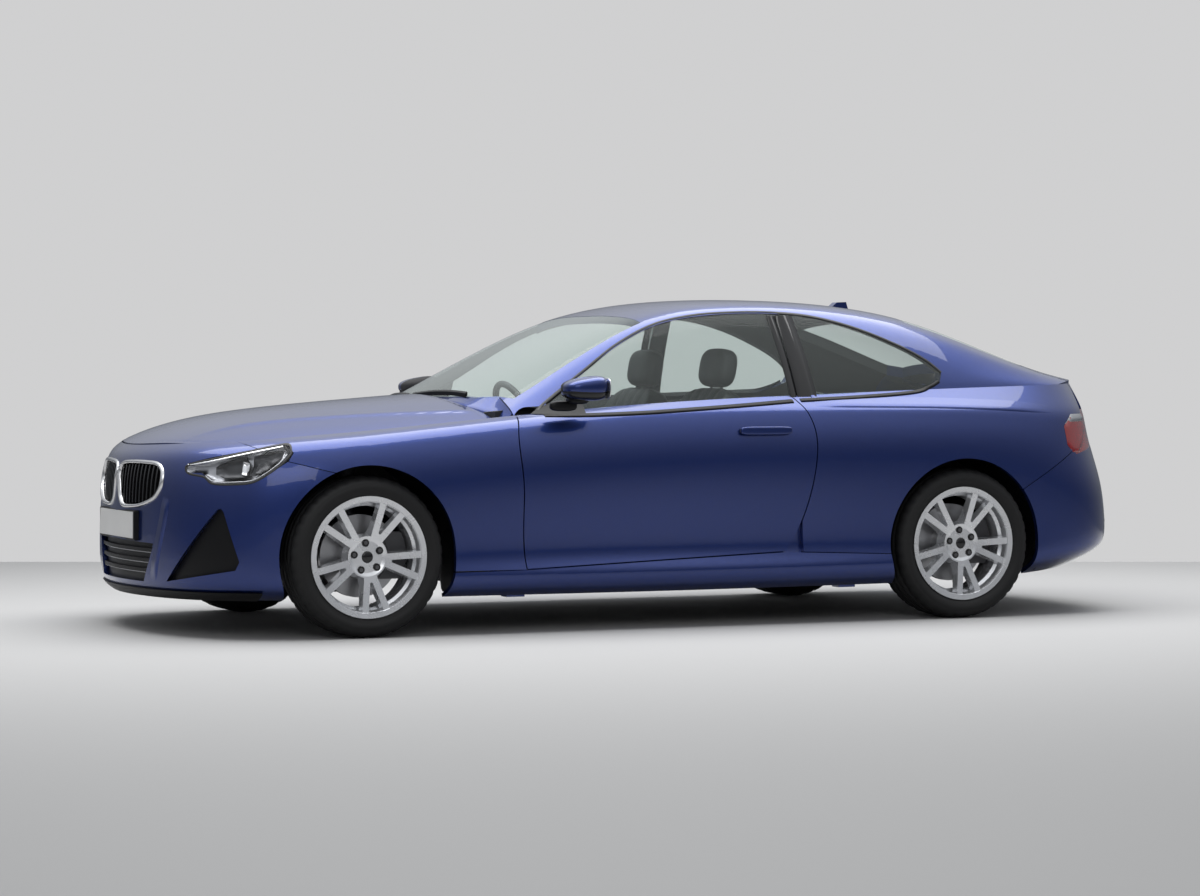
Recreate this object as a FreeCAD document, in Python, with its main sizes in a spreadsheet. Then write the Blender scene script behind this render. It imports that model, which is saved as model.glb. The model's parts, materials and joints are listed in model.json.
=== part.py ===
import math
import os

import FreeCAD
import Part
import Sketcher
from FreeCAD import Vector

# Coupe car, built from its panels, glass, running gear and cabin.
# Frame: +X to the tail, +Y to the car's right, +Z up, origin on the ground under the middle of the car.
# All sizes are in millimetres.

doc = FreeCAD.newDocument("coupe")

# Driving dimensions

SIZES = (
    # Whole car
    ("BodyLength", 4537), ("FrontOverhang", 790), ("Wheelbase", 2741), ("ShutGap", 5),
    # Panels
    ("PanelWall", 25), ("DoorWall", 105), ("DoorSkin", 21), ("SkinStep", 26), ("DoorLap", 20),
    ("ApertureLap", 9), ("PillarWall", 46), ("RoofWall", 32), ("GlassWall", 6), ("BonnetCrown", 122),
    ("BonnetWall", 22), ("LipHeight", 188), ("LipReach", 10), ("GrilleRim", 13), ("BarCount", 12),
    # Wheels
    ("TyreRadius", 326), ("TyreWidthFront", 225), ("TyreWidthRear", 245), ("WheelCentreFront", 788),
    ("WheelCentreRear", 788), ("RimRadius", 246), ("RimBarrel", 222), ("RimWidth", 214),
    ("SpokeCount", 5), ("SpokePhase", 62), ("SpokeFace", -99), ("SpokeDraft", 8), ("HubRadius", 78),
    ("BoreRadius", 24), ("StubRadius", 30), ("BoltSeat", 15), ("BoltCircle", 56), ("DiscRadius", 168),
    ("DiscThick", 26), ("DiscInset", 30),
    # Arches and suspension
    ("ArchRadius", 370), ("LinerRadius", 406), ("LinerWall", 4), ("LinerInner", 470),
    ("BallJointY", 712), ("BallJointZ", 200), ("StrutTopY", 570), ("StrutTopZ", 790),
    ("StrutLength", 596), ("TowerRadius", 70),
    # Floor
    ("FloorHeight", 178), ("FloorThick", 22), ("TunnelHeight", 250), ("TunnelWidth", 260),
    ("JackPadY", 800), ("JackPadZ", 146), ("JackPadFront", -820), ("JackPadRear", 720),
    # Drive and exhaust
    ("EngineX", -1720), ("EngineZ", 285), ("EngineLength", 640), ("EngineWidth", 560),
    ("EngineHeight", 470), ("GearboxRadius", 108), ("GearboxTail", 84), ("GearboxLength", 560),
    ("DriveZ", 310), ("PropRadius", 32), ("DifferentialX", 1180), ("DifferentialRadius", 76),
    ("DifferentialLength", 200), ("ShaftRadius", 17), ("ShaftReach", 640), ("TankX", 905),
    ("TankLength", 225), ("TankWidth", 880), ("TankZ", 200), ("TankHeight", 163.7), ("SilencerX", 1720),
    ("SilencerLength", 340), ("SilencerWidth", 840), ("SilencerZ", 235), ("SilencerHeight", 150),
    ("TailPipeY", 390), ("TailPipeZ", 290), ("TailPipeRadius", 42), ("TailPipeEnd", 2222),
    # Cabin
    ("SeatWidth", 480), ("SeatInset", 380), ("SteeringWheelRadius", 184), ("SteeringRim", 15),
    ("BossRadius", 62), ("ArmRadius", 11),
)

# The body side as lengthwise guide lines, from the tucked-under keel to the belt. Skirt, Ledge and Tuck
# lie close together to make the ledge over the skirt, and Bulge, Edge and Top make the shoulder crease.
# Columns: x and z at the nose, x y of the front corner, y z at the front axle, y z at the doors,
# y z at the rear axle, x y of the rear corner, x and z at the tail.

GUIDE_COLUMNS = ("NoseX", "NoseZ", "FrontCornerX", "FrontCornerY", "FrontY", "FrontZ", "MidY", "MidZ",
                 "RearY", "RearZ", "RearCornerX", "RearCornerY", "TailX", "TailZ")
GUIDES = {
    "Keel": (-2219, 150, -1975, 700, 850, 158, 838, 152, 850, 160, 1820, 760, 2100, 226),
    "Sill": (-2272, 180, -2012, 780, 905, 182, 892, 176, 905, 188, 1850, 836, 2190, 262),
    "Skirt": (-2274, 235, -2026, 800, 915, 226, 912, 228, 922, 232, 1945, 866, 2254, 310),
    "Ledge": (-2274, 285, -2030, 806, 914, 262, 908, 264, 921, 268, 1962, 874, 2266, 352),
    "Tuck": (-2274, 340, -2032, 810, 910, 306, 868, 306, 918, 310, 1965, 878, 2270, 390),
    "Lower": (-2274, 430, -2026, 812, 912, 410, 878, 420, 918, 425, 1958, 882, 2266, 452),
    "Waist": (-2272, 545, -2016, 812, 918, 545, 912, 580, 928, 620, 1938, 884, 2248, 570),
    "Haunch": (-2268, 632, -2000, 802, 914, 682, 916, 785, 928, 798, 1880, 866, 2200, 720),
    "Bulge": (-2258, 690, -1980, 784, 886, 762, 868, 898, 896, 884, 1885, 846, 2168, 828),
    "Edge": (-2248, 720, -1962, 766, 844, 804, 844, 922, 890, 911, 1898, 826, 2153, 884),
    "Top": (-2232, 745, -1940, 738, 796, 820, 824, 936, 852, 936, 1896, 796, 2140, 940),
    "Belt": (-2207, 768, -1916, 700, 742, 826, 806, 948, 778, 1000, 1865, 742, 2118, 1030),
}

# The glasshouse and deck as stations from the cowl to the tail.
# Columns: x at the middle, x at the sides, z at the middle, y z of the roof edge, y z of the belt.

STATION_COLUMNS = ("MidX", "SideX", "MidZ", "CantY", "CantZ", "BeltY", "BeltZ")
STATIONS = {
    "Cowl": (-1060, -850, 905, 712, 890, 768, 872),
    "Base": (-945, -735, 962, 702, 948, 776, 905),
    "Screen": (-550, -465, 1166, 650, 1120, 788, 925),
    "Header": (-165, -140, 1328, 602, 1292, 800, 940),
    "Crown": (130, 130, 1390, 582, 1344, 806, 952),
    "Middle": (500, 500, 1397, 576, 1360, 806, 972),
    "Back": (880, 880, 1385, 582, 1330, 796, 985),
    "Window": (1230, 1225, 1340, 600, 1262, 780, 995),
    "Slope": (1570, 1550, 1222, 625, 1140, 765, 1002),
    "Deck": (1850, 1820, 1100, 640, 1055, 745, 1003),
    "Lip": (2080, 2000, 1044, 610, 1028, 712, 998),
    "End": (2200, 2110, 1030, 560, 1012, 650, 985),
}

sheet = doc.addObject("Spreadsheet::Sheet", "Sizes")
entries = list(SIZES)
for guide in GUIDES:
    entries += [(guide + column, value) for column, value in zip(GUIDE_COLUMNS, GUIDES[guide])]
for station in STATIONS:
    entries += [(station + column, value) for column, value in zip(STATION_COLUMNS, STATIONS[station])]
for row, (alias, value) in enumerate(entries, start=1):
    sheet.set("A%d" % row, alias)
    sheet.set("B%d" % row, str(value))
    sheet.setAlias("B%d" % row, alias)
doc.recompute()


def size(alias):
    return float(getattr(sheet, alias))


NOSE = -size("BodyLength") / 2
FRONT_AXLE = NOSE + size("FrontOverhang")
REAR_AXLE = FRONT_AXLE + size("Wheelbase")
HUB_Z = size("TyreRadius")
GAP = size("ShutGap")
SEAT = 0.3


def mix(first, second, share):
    return first + (second - first) * share


# Surfaces

def clamped_patch(grid):
    rows = len(grid)
    columns = len(grid[0])

    def spread(count):
        inner = count - 4
        return [4] + [1] * inner + [4], list(range(inner + 2))
    u_mults, u_knots = spread(rows)
    v_mults, v_knots = spread(columns)
    patch = Part.BSplineSurface()
    patch.buildFromPolesMultsKnots(grid, u_mults, v_mults, u_knots, v_knots, False, False, 3, 3)
    return patch


def greville(count):
    knots = [0] * 4 + list(range(1, count - 3)) + [count - 3] * 4
    return [sum(knots[i + 1:i + 4]) / 3.0 for i in range(count)]


def inset_patch(patch, depth, closed_y=(), spread=0):
    poles = patch.getPoles()
    us = greville(len(poles))
    vs = greville(len(poles[0]))
    normals = [[patch.normal(u, v) for v in vs] for u in us]
    inner = []
    for i, row in enumerate(poles):
        line = []
        for j, pole in enumerate(row):
            lean = Vector(0, 0, 0)
            for near in range(max(0, i - spread), min(len(us), i + spread + 1)):
                lean = lean + normals[near][j]
            moved = pole - lean.normalize() * depth
            if j in closed_y:
                moved.y = 0
            line.append(moved)
        inner.append(line)
    return clamped_patch(inner)


def solid_between(outer, inner):
    outer_face = outer.toShape()
    inner_face = inner.toShape()
    faces = [outer_face, inner_face]
    for first, second in zip(boundary(outer), boundary(inner)):
        faces.append(Part.makeRuledSurface(first, second))
    shell = Part.makeShell(faces)
    shell.sewShape()
    solid = Part.makeSolid(shell)
    if solid.Volume < 0:
        solid.reverse()
    return solid


def boundary(patch):
    low_u, high_u, low_v, high_v = patch.bounds()
    return [patch.uIso(low_u).toShape(), patch.uIso(high_u).toShape(),
            patch.vIso(low_v).toShape(), patch.vIso(high_v).toShape()]


# Body side surface, left half: rows run up the side, columns run from nose to tail.

def side_grid():
    grid = []
    for guide in GUIDES:
        g = {column: size(guide + column) for column in GUIDE_COLUMNS}
        corner_z = mix(g["NoseZ"], g["FrontZ"], 0.42)
        back_z = mix(g["TailZ"], g["RearZ"], 0.42)
        mid_x = mix(FRONT_AXLE, REAR_AXLE, 0.5)
        line = [
            (g["NoseX"], 0, g["NoseZ"]),
            (g["NoseX"], 0.20 * g["FrontCornerY"], g["NoseZ"]),
            (mix(g["NoseX"], g["FrontCornerX"], 0.22), 0.68 * g["FrontCornerY"],
             mix(g["NoseZ"], corner_z, 0.5)),
            (g["FrontCornerX"], g["FrontCornerY"], corner_z),
            (mix(g["FrontCornerX"], FRONT_AXLE, 0.5), mix(g["FrontCornerY"], g["FrontY"], 0.86),
             mix(corner_z, g["FrontZ"], 0.6)),
            (FRONT_AXLE, g["FrontY"], g["FrontZ"]),
            (mix(FRONT_AXLE, mid_x, 0.5), mix(g["FrontY"], g["MidY"], 0.55),
             mix(g["FrontZ"], g["MidZ"], 0.55)),
            (mid_x, g["MidY"], g["MidZ"]),
            (mix(mid_x, REAR_AXLE, 0.5), mix(g["MidY"], g["RearY"], 0.45),
             mix(g["MidZ"], g["RearZ"], 0.5)),
            (REAR_AXLE, g["RearY"], g["RearZ"]),
            (mix(REAR_AXLE, g["RearCornerX"], 0.55), mix(g["RearY"], g["RearCornerY"], 0.3),
             mix(g["RearZ"], back_z, 0.5)),
            (g["RearCornerX"], g["RearCornerY"], back_z),
            (mix(g["TailX"], g["RearCornerX"], 0.22), 0.70 * g["RearCornerY"],
             mix(g["TailZ"], back_z, 0.5)),
            (g["TailX"], 0.25 * g["RearCornerY"], g["TailZ"]),
            (g["TailX"], 0, g["TailZ"]),
        ]
        grid.append([Vector(x, -y, z) for x, y, z in line])
    return grid


side_patch = clamped_patch(side_grid())
LAST_COLUMN = 14
side_normal = side_patch.normal(3.0, 6.0)
OUTWARD = 1 if side_normal.y < 0 else -1


ROW_SPREAD = 3


def side_wall(start, depth):
    ends = (0, LAST_COLUMN)
    outer = inset_patch(side_patch, start * OUTWARD, ends, ROW_SPREAD) if start else side_patch
    inner = inset_patch(side_patch, (start + depth) * OUTWARD, ends, ROW_SPREAD)
    return solid_between(outer, inner)


# Glasshouse surface, full width: rows run from the cowl to the tail, columns from left to right.

def top_grid():
    grid = []
    for station in STATIONS:
        s = {column: size(station + column) for column in STATION_COLUMNS}
        middle = Vector(s["MidX"], 0, s["MidZ"])
        cant = Vector(mix(s["MidX"], s["SideX"], 0.9), s["CantY"], s["CantZ"])
        belt = Vector(s["SideX"], s["BeltY"], s["BeltZ"])
        rise = middle.z - cant.z
        half = [
            middle,
            Vector(mix(middle.x, cant.x, 0.10), 0.42 * cant.y, middle.z - 0.08 * rise),
            Vector(mix(middle.x, cant.x, 0.45), 0.80 * cant.y, middle.z - 0.42 * rise),
            cant,
            cant + (belt - cant) * 0.22 + Vector(0, 0.10 * (belt.y - cant.y), 0),
            cant + (belt - cant) * 0.62 + Vector(0, 0.08 * (belt.y - cant.y), 0),
            belt,
            belt + Vector(0, 8, -60),
        ]
        left = [Vector(p.x, -p.y, p.z) for p in reversed(half)]
        grid.append(left + half[1:])
    return grid


top_patch = clamped_patch(top_grid())
top_normal = top_patch.normal(4.5, 6.0)
UPWARD = 1 if top_normal.z > 0 else -1


def top_wall(start, depth):
    outer = inset_patch(top_patch, start * UPWARD) if start else top_patch
    inner = inset_patch(top_patch, (start + depth) * UPWARD)
    return solid_between(outer, inner)



def box(x_low, x_high, y_low, y_high, z_low, z_high):
    corner = Vector(x_low, y_low, z_low)
    return Part.makeBox(x_high - x_low, y_high - y_low, z_high - z_low, corner)


def mirrored(shape):
    return shape.mirror(Vector(0, 0, 0), Vector(0, 1, 0))


def pair(shape):
    return Part.makeCompound([shape, mirrored(shape)])


def side_outline(points, y=0):
    return Part.makePolygon([Vector(x, y, z) for x, z in points + points[:1]])


def side_prism(points, y_low=-1300, y_high=0):
    face = Part.Face(side_outline(points, y_low))
    return face.extrude(Vector(0, y_high - y_low, 0))


def top_prism(points, z_low=600, z_high=1600):
    face = Part.Face(Part.makePolygon([Vector(x, y, z_low) for x, y in points + points[:1]]))
    return face.extrude(Vector(0, 0, z_high - z_low))


def front_prism(points, x_low, x_high):
    face = Part.Face(Part.makePolygon([Vector(x_low, y, z) for y, z in points + points[:1]]))
    return face.extrude(Vector(x_high - x_low, 0, 0))


def slanted_prism(points, line, reach):
    direction = Vector(line).normalize()
    flat = [point - direction * point.dot(direction) for point in points]
    face = Part.Face(Part.makePolygon(flat + flat[:1]))
    face.translate(direction * (points[0].dot(direction) - reach))
    return face.extrude(direction * 2 * reach)


def tube(radius, y_low, y_high, x, z):
    return Part.makeCylinder(radius, y_high - y_low, Vector(x, y_low, z), Vector(0, 1, 0))


def largest(shape):
    return max(shape.Solids, key=lambda solid: solid.Volume)


def one(shapes):
    merged = shapes[0].fuse(shapes[1:]).removeSplitter()
    return merged


# Shut lines, seen from the side

DOOR_FRONT = ((-800, 262), (-812, 440), (-818, 640), (-817, 850), (-800, 884), (-745, 922))
DOOR_REAR = ((436, 996), (505, 906), (532, 800), (526, 670), (485, 485), (436, 368), (398, 309))
FENDER_SHUT = ((-1560, 650), (-1675, 677), (-1743, 695), (-1809, 712), (-1960, 790))
SKIRT_TOP = ((-1478, 256), (-1130, 256), (-800, 259), (398, 306), (900, 288), (1262, 240))
REAR_SHUT = ((1555, 562), (1868, 742), (1897, 776), (1935, 830), (1955, 905), (1972, 1200))


def spline_edge(points, y):
    curve = Part.BSplineCurve()
    curve.interpolate([Vector(x, y, z) for x, z in points])
    return curve.toShape()


def offset_wire(wire, shift):
    edges = []
    for edge in wire.makeOffset2D(shift).OrderedEdges:
        ends = [vertex.Point for vertex in edge.Vertexes]
        if edge.Curve.TypeId == "Part::GeomLine" or edge.Length < 2 * abs(shift):
            edges.append(Part.makeLine(ends[0], ends[-1]))
        else:
            curve = Part.BSplineCurve()
            curve.interpolate(edge.discretize(16))
            edges.append(curve.toShape())
    return Part.Wire(Part.__sortEdges__(edges))


def door_prism(shift, y_low, y_high):
    front = spline_edge(DOOR_FRONT, y_low)
    rear = spline_edge(DOOR_REAR, y_low)
    belt = Part.makeLine(front.Vertexes[1].Point, rear.Vertexes[0].Point)
    sill = Part.makeLine(rear.Vertexes[1].Point, front.Vertexes[0].Point)
    wire = Part.Wire([front, belt, rear, sill])
    if shift:
        wire = offset_wire(wire, shift)
    return Part.Face(wire).extrude(Vector(0, y_high - y_low, 0))


half = box(-2400, 2400, -1300, 0, 0, 1700)
skin = side_wall(0, size("PanelWall"))
band = side_wall(size("SkinStep"), size("DoorWall") - size("SkinStep"))
arch_front = tube(size("ArchRadius"), -1300, -400, FRONT_AXLE, HUB_Z)
arch_rear = tube(size("ArchRadius"), -1300, -400, REAR_AXLE, HUB_Z)
liner_rear = tube(size("LinerRadius"), -1300, -400, REAR_AXLE, HUB_Z)

# Plan of the belt line, which bounds the bonnet, the deck and the fenders

belt_curve = side_patch.uIso(side_patch.bounds()[1])


def belt_plan(shift, z_low, z_high):
    poles = [Vector(p.x, p.y, z_low) for p in belt_curve.getPoles()]
    curve = Part.BSplineCurve()
    curve.buildFromPolesMultsKnots(poles, belt_curve.getMultiplicities(), belt_curve.getKnots(), False, 3)
    left = curve.toShape()
    right = left.mirror(Vector(0, 0, 0), Vector(0, 1, 0))
    wire = Part.Wire(Part.__sortEdges__([left, right]))
    if shift:
        wire = offset_wire(wire, shift)
    return Part.Face(wire).extrude(Vector(0, 0, z_high - z_low))


# Doors

door_skin = side_wall(0, size("DoorSkin")).common(door_prism(-GAP / 2, -1300, -400))
core_start = size("DoorSkin") - 3
door_core = side_wall(core_start, size("DoorWall") - core_start).common(door_prism(-size("DoorLap"), -1300,
    -400))
door_left = one([door_skin, door_core])

# Glasshouse cuts

SIDE_WINDOW = ((-700, 908), (-462, 1066), (-280, 1183), (-95, 1267), (90, 1307), (278, 1322),
               (468, 1324), (660, 1308), (855, 1261), (1051, 1185), (1170, 1122), (1236, 1067))
WINDOW_FOOT = ((1236, 1067), (1215, 1025), (1160, 1000), (1062, 975), (463, 940), (-252, 890), (-700, 880))
GLASS_SPLIT = 486
PILLAR_STRIP = 14


def window_prism(shift, y_low=-1000, y_high=-450):
    upper = spline_edge(SIDE_WINDOW, y_low)
    points = [Vector(x, y_low, z) for x, z in WINDOW_FOOT] + [upper.Vertexes[0].Point]
    wire = Part.Wire([upper] + Part.makePolygon(points).Edges)
    if shift:
        wire = offset_wire(wire, shift)
    return Part.Face(wire).extrude(Vector(0, y_high - y_low, 0))


SCREEN = [(-940, 0), (-920, -250), (-860, -500), (-762, -672), (-640, -655), (-138, -572),
          (-150, -350), (-160, 0)]
BACKLIGHT = [(1205, 0), (1195, -300), (1175, -520), (1230, -545), (1700, -590), (1770, -560),
             (1800, -350), (1810, 0)]
LID_TOP = [(1816, 0), (1806, -350), (1775, -575), (1800, -622), (2000, -640), (2260, -655)]


def moved(shape, place):
    copy = shape.copy()
    copy.translate(place)
    return copy


def both_sides(points):
    return points + [(x, -y) for x, y in reversed(points) if y < 0]


screen_cut = top_prism(both_sides(SCREEN))
back_cut = top_prism(both_sides(BACKLIGHT))
lid_cut = top_prism(both_sides(LID_TOP + [(2400, -655), (2400, 0)]))
ROOF = [(-160, 0), (-150, -350), (-138, -572), (-100, -556), (500, -532), (1175, -520), (1195, -300),
        (1205, 0)]
roof_cut = top_prism(both_sides(ROOF))

inside_belt = belt_plan(0, 500, 1500)
frame_wall = top_wall(0, size("PillarWall")).common(inside_belt)
roof_panel = top_wall(0, size("RoofWall")).common(roof_cut)
glass_wall = top_wall(1, size("GlassWall"))
windscreen = glass_wall.common(screen_cut)
rear_window = glass_wall.common(back_cut)
side_glass = glass_wall.common(half)
door_glass = side_glass.common(window_prism(-GAP)).common(box(-1000, GLASS_SPLIT, -1000, 0, 0, 1700))
door_glass = largest(door_glass.cut(door_left))
quarter = side_glass.common(window_prism(0))
quarter = quarter.common(box(GLASS_SPLIT + PILLAR_STRIP + GAP, 1400, -1000, 0, 0, 1700))

# Body side: hinge pillar, rocker, B-pillar, quarter panel, rails and roof pillars in one pressing

upper = frame_wall.common(half).cut([roof_cut, screen_cut, back_cut, lid_cut])
upper = upper.cut(window_prism(0)).cut(door_prism(GAP / 2, -1300, -400))
upper = upper.cut(box(-1100, -800, -1300, 0, 0, 1700))
upper = largest(upper)
SIDE_SKIN = [(-700, 1200), (420, 1200), (480, 307), (900, 291), (1262, 330)] + list(REAR_SHUT)
side_skin = skin.common(side_prism(SIDE_SKIN)).cut([door_prism(GAP / 2, -1300, -400), arch_rear, lid_cut])
side_skin = largest(side_skin)
SIDE_BAND = [(-900, 160), (1000, 160), (1262, 330), (1700, 500), (1980, 560), (1960, 1200), (-900, 1200)]
side_band = band.common(side_prism(SIDE_BAND)).cut([door_prism(-size("ApertureLap"), -1300, -400),
                                                    liner_rear, window_prism(0)])
side_band = side_band.cut([screen_cut, lid_cut])
side_band = largest(side_band)
jack_pads = [box(x - 40, x + 40, -size("JackPadY") - 30, -size("JackPadY") + 30, size("JackPadZ"), 180)
             for x in (size("JackPadFront"), size("JackPadRear"))]
body_left = one([side_band, side_skin, upper] + jack_pads)
quarter = largest(quarter.cut(body_left))
door_glass = door_glass.cut(moved(body_left, Vector(-GAP, 0, 2)))
door_glass = largest(door_glass)
windscreen = largest(windscreen.cut([body_left, mirrored(body_left)]))
rear_window = largest(rear_window.cut([body_left, mirrored(body_left)]))

# Bonnet: a crowned sheet inside the belt line

BONNET_LINE = ((-2330, 690), (-2225, 766), (-2100, 838), (-1850, 902), (-1500, 938), (-1150, 966),
               (-900, 984), (-700, 996))
BONNET_REAR = ((-845, -760), (-850, -700), (-925, -450), (-962, 0), (-925, 450), (-850, 700), (-845, 760))
CROWN = ((0, 0), (240, 0.07), (480, 0.34), (700, 0.94), (860, 1.6))


def bonnet_patch(drop_by):
    grid = []
    for x, z in BONNET_LINE:
        half_row = [Vector(x, y, z - size("BonnetCrown") * share - drop_by) for y, share in CROWN]
        left = [Vector(v.x, -v.y, v.z) for v in reversed(half_row)]
        grid.append(left + half_row[1:])
    return clamped_patch(grid)


def bonnet_plan(shift):
    rear = Part.BSplineCurve()
    rear.interpolate([Vector(x + shift, y, 500) for x, y in BONNET_REAR])
    rear_edge = rear.toShape()
    first = rear_edge.Vertexes[0].Point
    last = rear_edge.Vertexes[1].Point
    points = [first, Vector(-2600, first.y, 500), Vector(-2600, last.y, 500), last]
    face = Part.Face(Part.Wire([rear_edge] + Part.makePolygon(points).Edges))
    return face.extrude(Vector(0, 0, 1000))


bonnet_sheet = solid_between(bonnet_patch(0), bonnet_patch(size("BonnetWall")))
bonnet = bonnet_sheet.common(belt_plan(-GAP, 500, 1500)).common(bonnet_plan(0))
bonnet_room = solid_between(bonnet_patch(-80), bonnet_patch(size("BonnetWall") + GAP))
bonnet_room = bonnet_room.common(belt_plan(0, 500, 1500)).common(bonnet_plan(GAP))

body_left = largest(body_left.cut(bonnet_room))

# Headlamps, grilles and intakes are cut along the line they look

LAMP = [Vector(-2142, -564, 692), Vector(-2144, -577, 665), Vector(-2102, -648, 666),
        Vector(-2073, -702, 624),
        Vector(-1974, -792, 620), Vector(-1903, -828, 645), Vector(-1802, -848, 714), Vector(-1778, -838,
            747),
        Vector(-1785, -781, 785), Vector(-1956, -735, 752), Vector(-2061, -660, 728), Vector(-2131, -576,
        704)]
LAMP_LINE = Vector(0.55, 0.83, 0)
KIDNEY = [(-16, 640), (-22, 684), (-60, 698), (-183, 705), (-376, 703), (-430, 676), (-448, 620), (-396, 558),
          (-278, 524), (-96, 517), (-48, 545)]
LOWER_INTAKE = [(0, 382), (-400, 374), (-306, 216), (0, 216)]
LOWER_RIM = [(0, 394), (-416, 386), (-314, 204), (0, 204)]
SIDE_INTAKE = [Vector(-2066, -733, 520), Vector(-2050, -742, 526), Vector(-2038, -748, 510),
               Vector(-1992, -797, 313),
               Vector(-2006, -786, 279), Vector(-2201, -484, 224)]
SIDE_LINE = Vector(0.7, 0.714, 0)


def shrunk(points, by):
    wire = Part.makePolygon([Vector(0, y, z) for y, z in points + points[:1]])
    return Part.Face(offset_wire(wire, -by))


def front_cut(points, by=0, x_low=-2400, x_high=-1900):
    face = shrunk(points, by) if by else Part.Face(
        Part.makePolygon([Vector(0, y, z) for y, z in points + points[:1]]))
    face.translate(Vector(x_low, 0, 0))
    return face.extrude(Vector(x_high - x_low, 0, 0))


lamp_cut = slanted_prism(LAMP, LAMP_LINE, 300)
kidney_cut = front_cut(KIDNEY)
lower_cut = front_cut(LOWER_INTAKE)
side_cut = slanted_prism(SIDE_INTAKE, SIDE_LINE, 300)
bumper_zone = side_prism([(-2400, 100), (-1478, 100), (-1478, 640)] + list(FENDER_SHUT) + [(-2400, 900)])
lip_zone = box(-2400, -1900, -1000, 0, 100, size("LipHeight"))
front_lip = side_wall(-size("LipReach"), size("LipReach") + size("PanelWall"))
front_lip = largest(front_lip.common(box(-2400, -1903, -1000, 0, 152,
                                         size("LipHeight") - SEAT)).cut(arch_front))
front_lip = one([front_lip, mirrored(front_lip)])
bumper_half = skin.common(bumper_zone).cut([arch_front, lamp_cut, kidney_cut, lower_cut, side_cut, lip_zone])
bumper_half = bumper_half.cut(bonnet_room)
bumper_half = largest(bumper_half)
front_bumper = one([bumper_half, mirrored(bumper_half)])

lamp_glass = largest(side_wall(1, 40).common(lamp_cut).cut(bonnet_room))
kidney_wall = side_wall(-6, size("PanelWall") + 6)
kidney_frame = largest(kidney_wall.common(kidney_cut).cut(front_cut(KIDNEY, size("GrilleRim"))))
bar_wall = side_wall(6, 26)
kidney_core = bar_wall.common(front_cut(KIDNEY, size("GrilleRim")))
bars = []
bar_count = int(size("BarCount"))
for index in range(bar_count):
    y = -28 - (index + 0.5) * 405 / bar_count
    bars.append(box(-2400, -1900, y - 5, y + 5, 500, 740))
back_plate = side_wall(30, 6).common(front_cut(KIDNEY, size("GrilleRim")))
kidney_bars = one([largest(back_plate)] + [kidney_core.common(bar) for bar in bars])
seat_depth = size("PanelWall") + SEAT
centre = sum(SIDE_INTAKE, Vector()) * (1 / len(SIDE_INTAKE))
side_rim = slanted_prism([centre + (point - centre) * 1.12 for point in SIDE_INTAKE], SIDE_LINE, 300)
intake_back = [largest(side_wall(seat_depth, 8).common(front_cut(LOWER_RIM))),
               largest(side_wall(seat_depth, 8).common(side_rim))]
slats = []
for index in range(3):
    z = 262 + index * 42
    slats.append(side_wall(8, 26).common(lower_cut).common(box(-2400, -1900, -600, 0, z - 7, z + 7)))
lower_grille = one([intake_back[0]] + slats)
lower_grille = one([lower_grille, mirrored(lower_grille)])

FENDER = [(-900, 1200), (-900, 262), (-1300, 262), (-1478, 640)] + list(FENDER_SHUT) + [(-1960, 1200)]
fender_zone = side_prism(FENDER)
door_side = side_prism([(-745, 1200), (-900, 1200), (-900, 262), (-700, 262), (-745, 922)])
fender = skin.common(fender_zone.fuse(door_side))
under_shut = side_prism([(x, z + 3) for x, z in FENDER_SHUT] + [(-1960, 600), (-1560, 600)])
fender = fender.cut([door_prism(GAP / 2, -1300, -400), arch_front, lamp_cut, under_shut, bonnet_room])
fender = fender.cut(side_prism([(x, z + 3) for x, z in SKIRT_TOP[:3]] + [(-600, 100), (-1478, 100)]))
fender = largest(fender)

skirt_zone = side_prism([(-1478, 100), (1262, 100)] + list(reversed(SKIRT_TOP)))
skirt = skin.common(skirt_zone).cut([arch_front, arch_rear, body_left])
skirt = largest(skirt)

# Tail

TAIL_LAMP = [(1797, 832), (1873, 896), (1900, 906), (2400, 906), (2400, 752), (2024, 742), (1937, 722),
             (1863, 708), (1806, 758)]
LID_FACE = [(0, 770), (-470, 770), (-520, 800), (-640, 905), (-640, 1100), (0, 1100)]
lamp_zone = side_prism(TAIL_LAMP).cut(front_prism([(0, 700), (-430, 700), (-430, 1100), (0, 1100)], 1500,
                                                  2500))
rear_zone = side_prism([(1262, 100), (2500, 100), (2500, 1200)] + [(x + 3, z - 2) for x,
    z in reversed(REAR_SHUT)])
lid_zone = front_prism(LID_FACE, 1900, 2500)
body_left = largest(body_left.cut(lid_zone))
tail_skin = skin.common(rear_zone)
diffuser_zone = front_prism([(0, 100), (-640, 100), (-600, 215), (-520, 330), (0, 330)], 1900, 2500)
diffuser = largest(tail_skin.common(diffuser_zone))
diffuser = one([diffuser, mirrored(diffuser)])
rear_half = tail_skin.cut([arch_rear, lamp_zone, lid_zone, diffuser_zone, body_left])
rear_half = largest(rear_half)
rear_bumper = one([rear_half, mirrored(rear_half)])
tail_lamp = side_wall(1, 40).common(lamp_zone).cut([lid_zone, body_left])
tail_lamp = largest(tail_lamp)
LID_INNER = [(0, 775), (-465, 775), (-514, 805), (-634, 908), (-634, 1100), (0, 1100)]
lid_face = skin.common(front_prism(LID_INNER, 1900, 2500))
lid_face = one([lid_face, mirrored(lid_face)])
LID_PANEL = [(1821, 0), (1811, -350), (1781, -572), (1804, -617), (2000, -635), (2260, -650), (2400, -650),
             (2400, 0)]
lid_top = top_wall(0, size("PanelWall")).common(inside_belt).common(top_prism(both_sides(LID_PANEL)))
boot_lid = one([lid_top, lid_face])

pieces = []


def feature(label, shape):
    item = doc.addObject("Part::Feature", label)
    item.Label = label
    item.Shape = shape
    pieces.append(item)
    return item


ALONG = Vector(1, 0, 0)
ACROSS = Vector(0, 1, 0)


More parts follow.
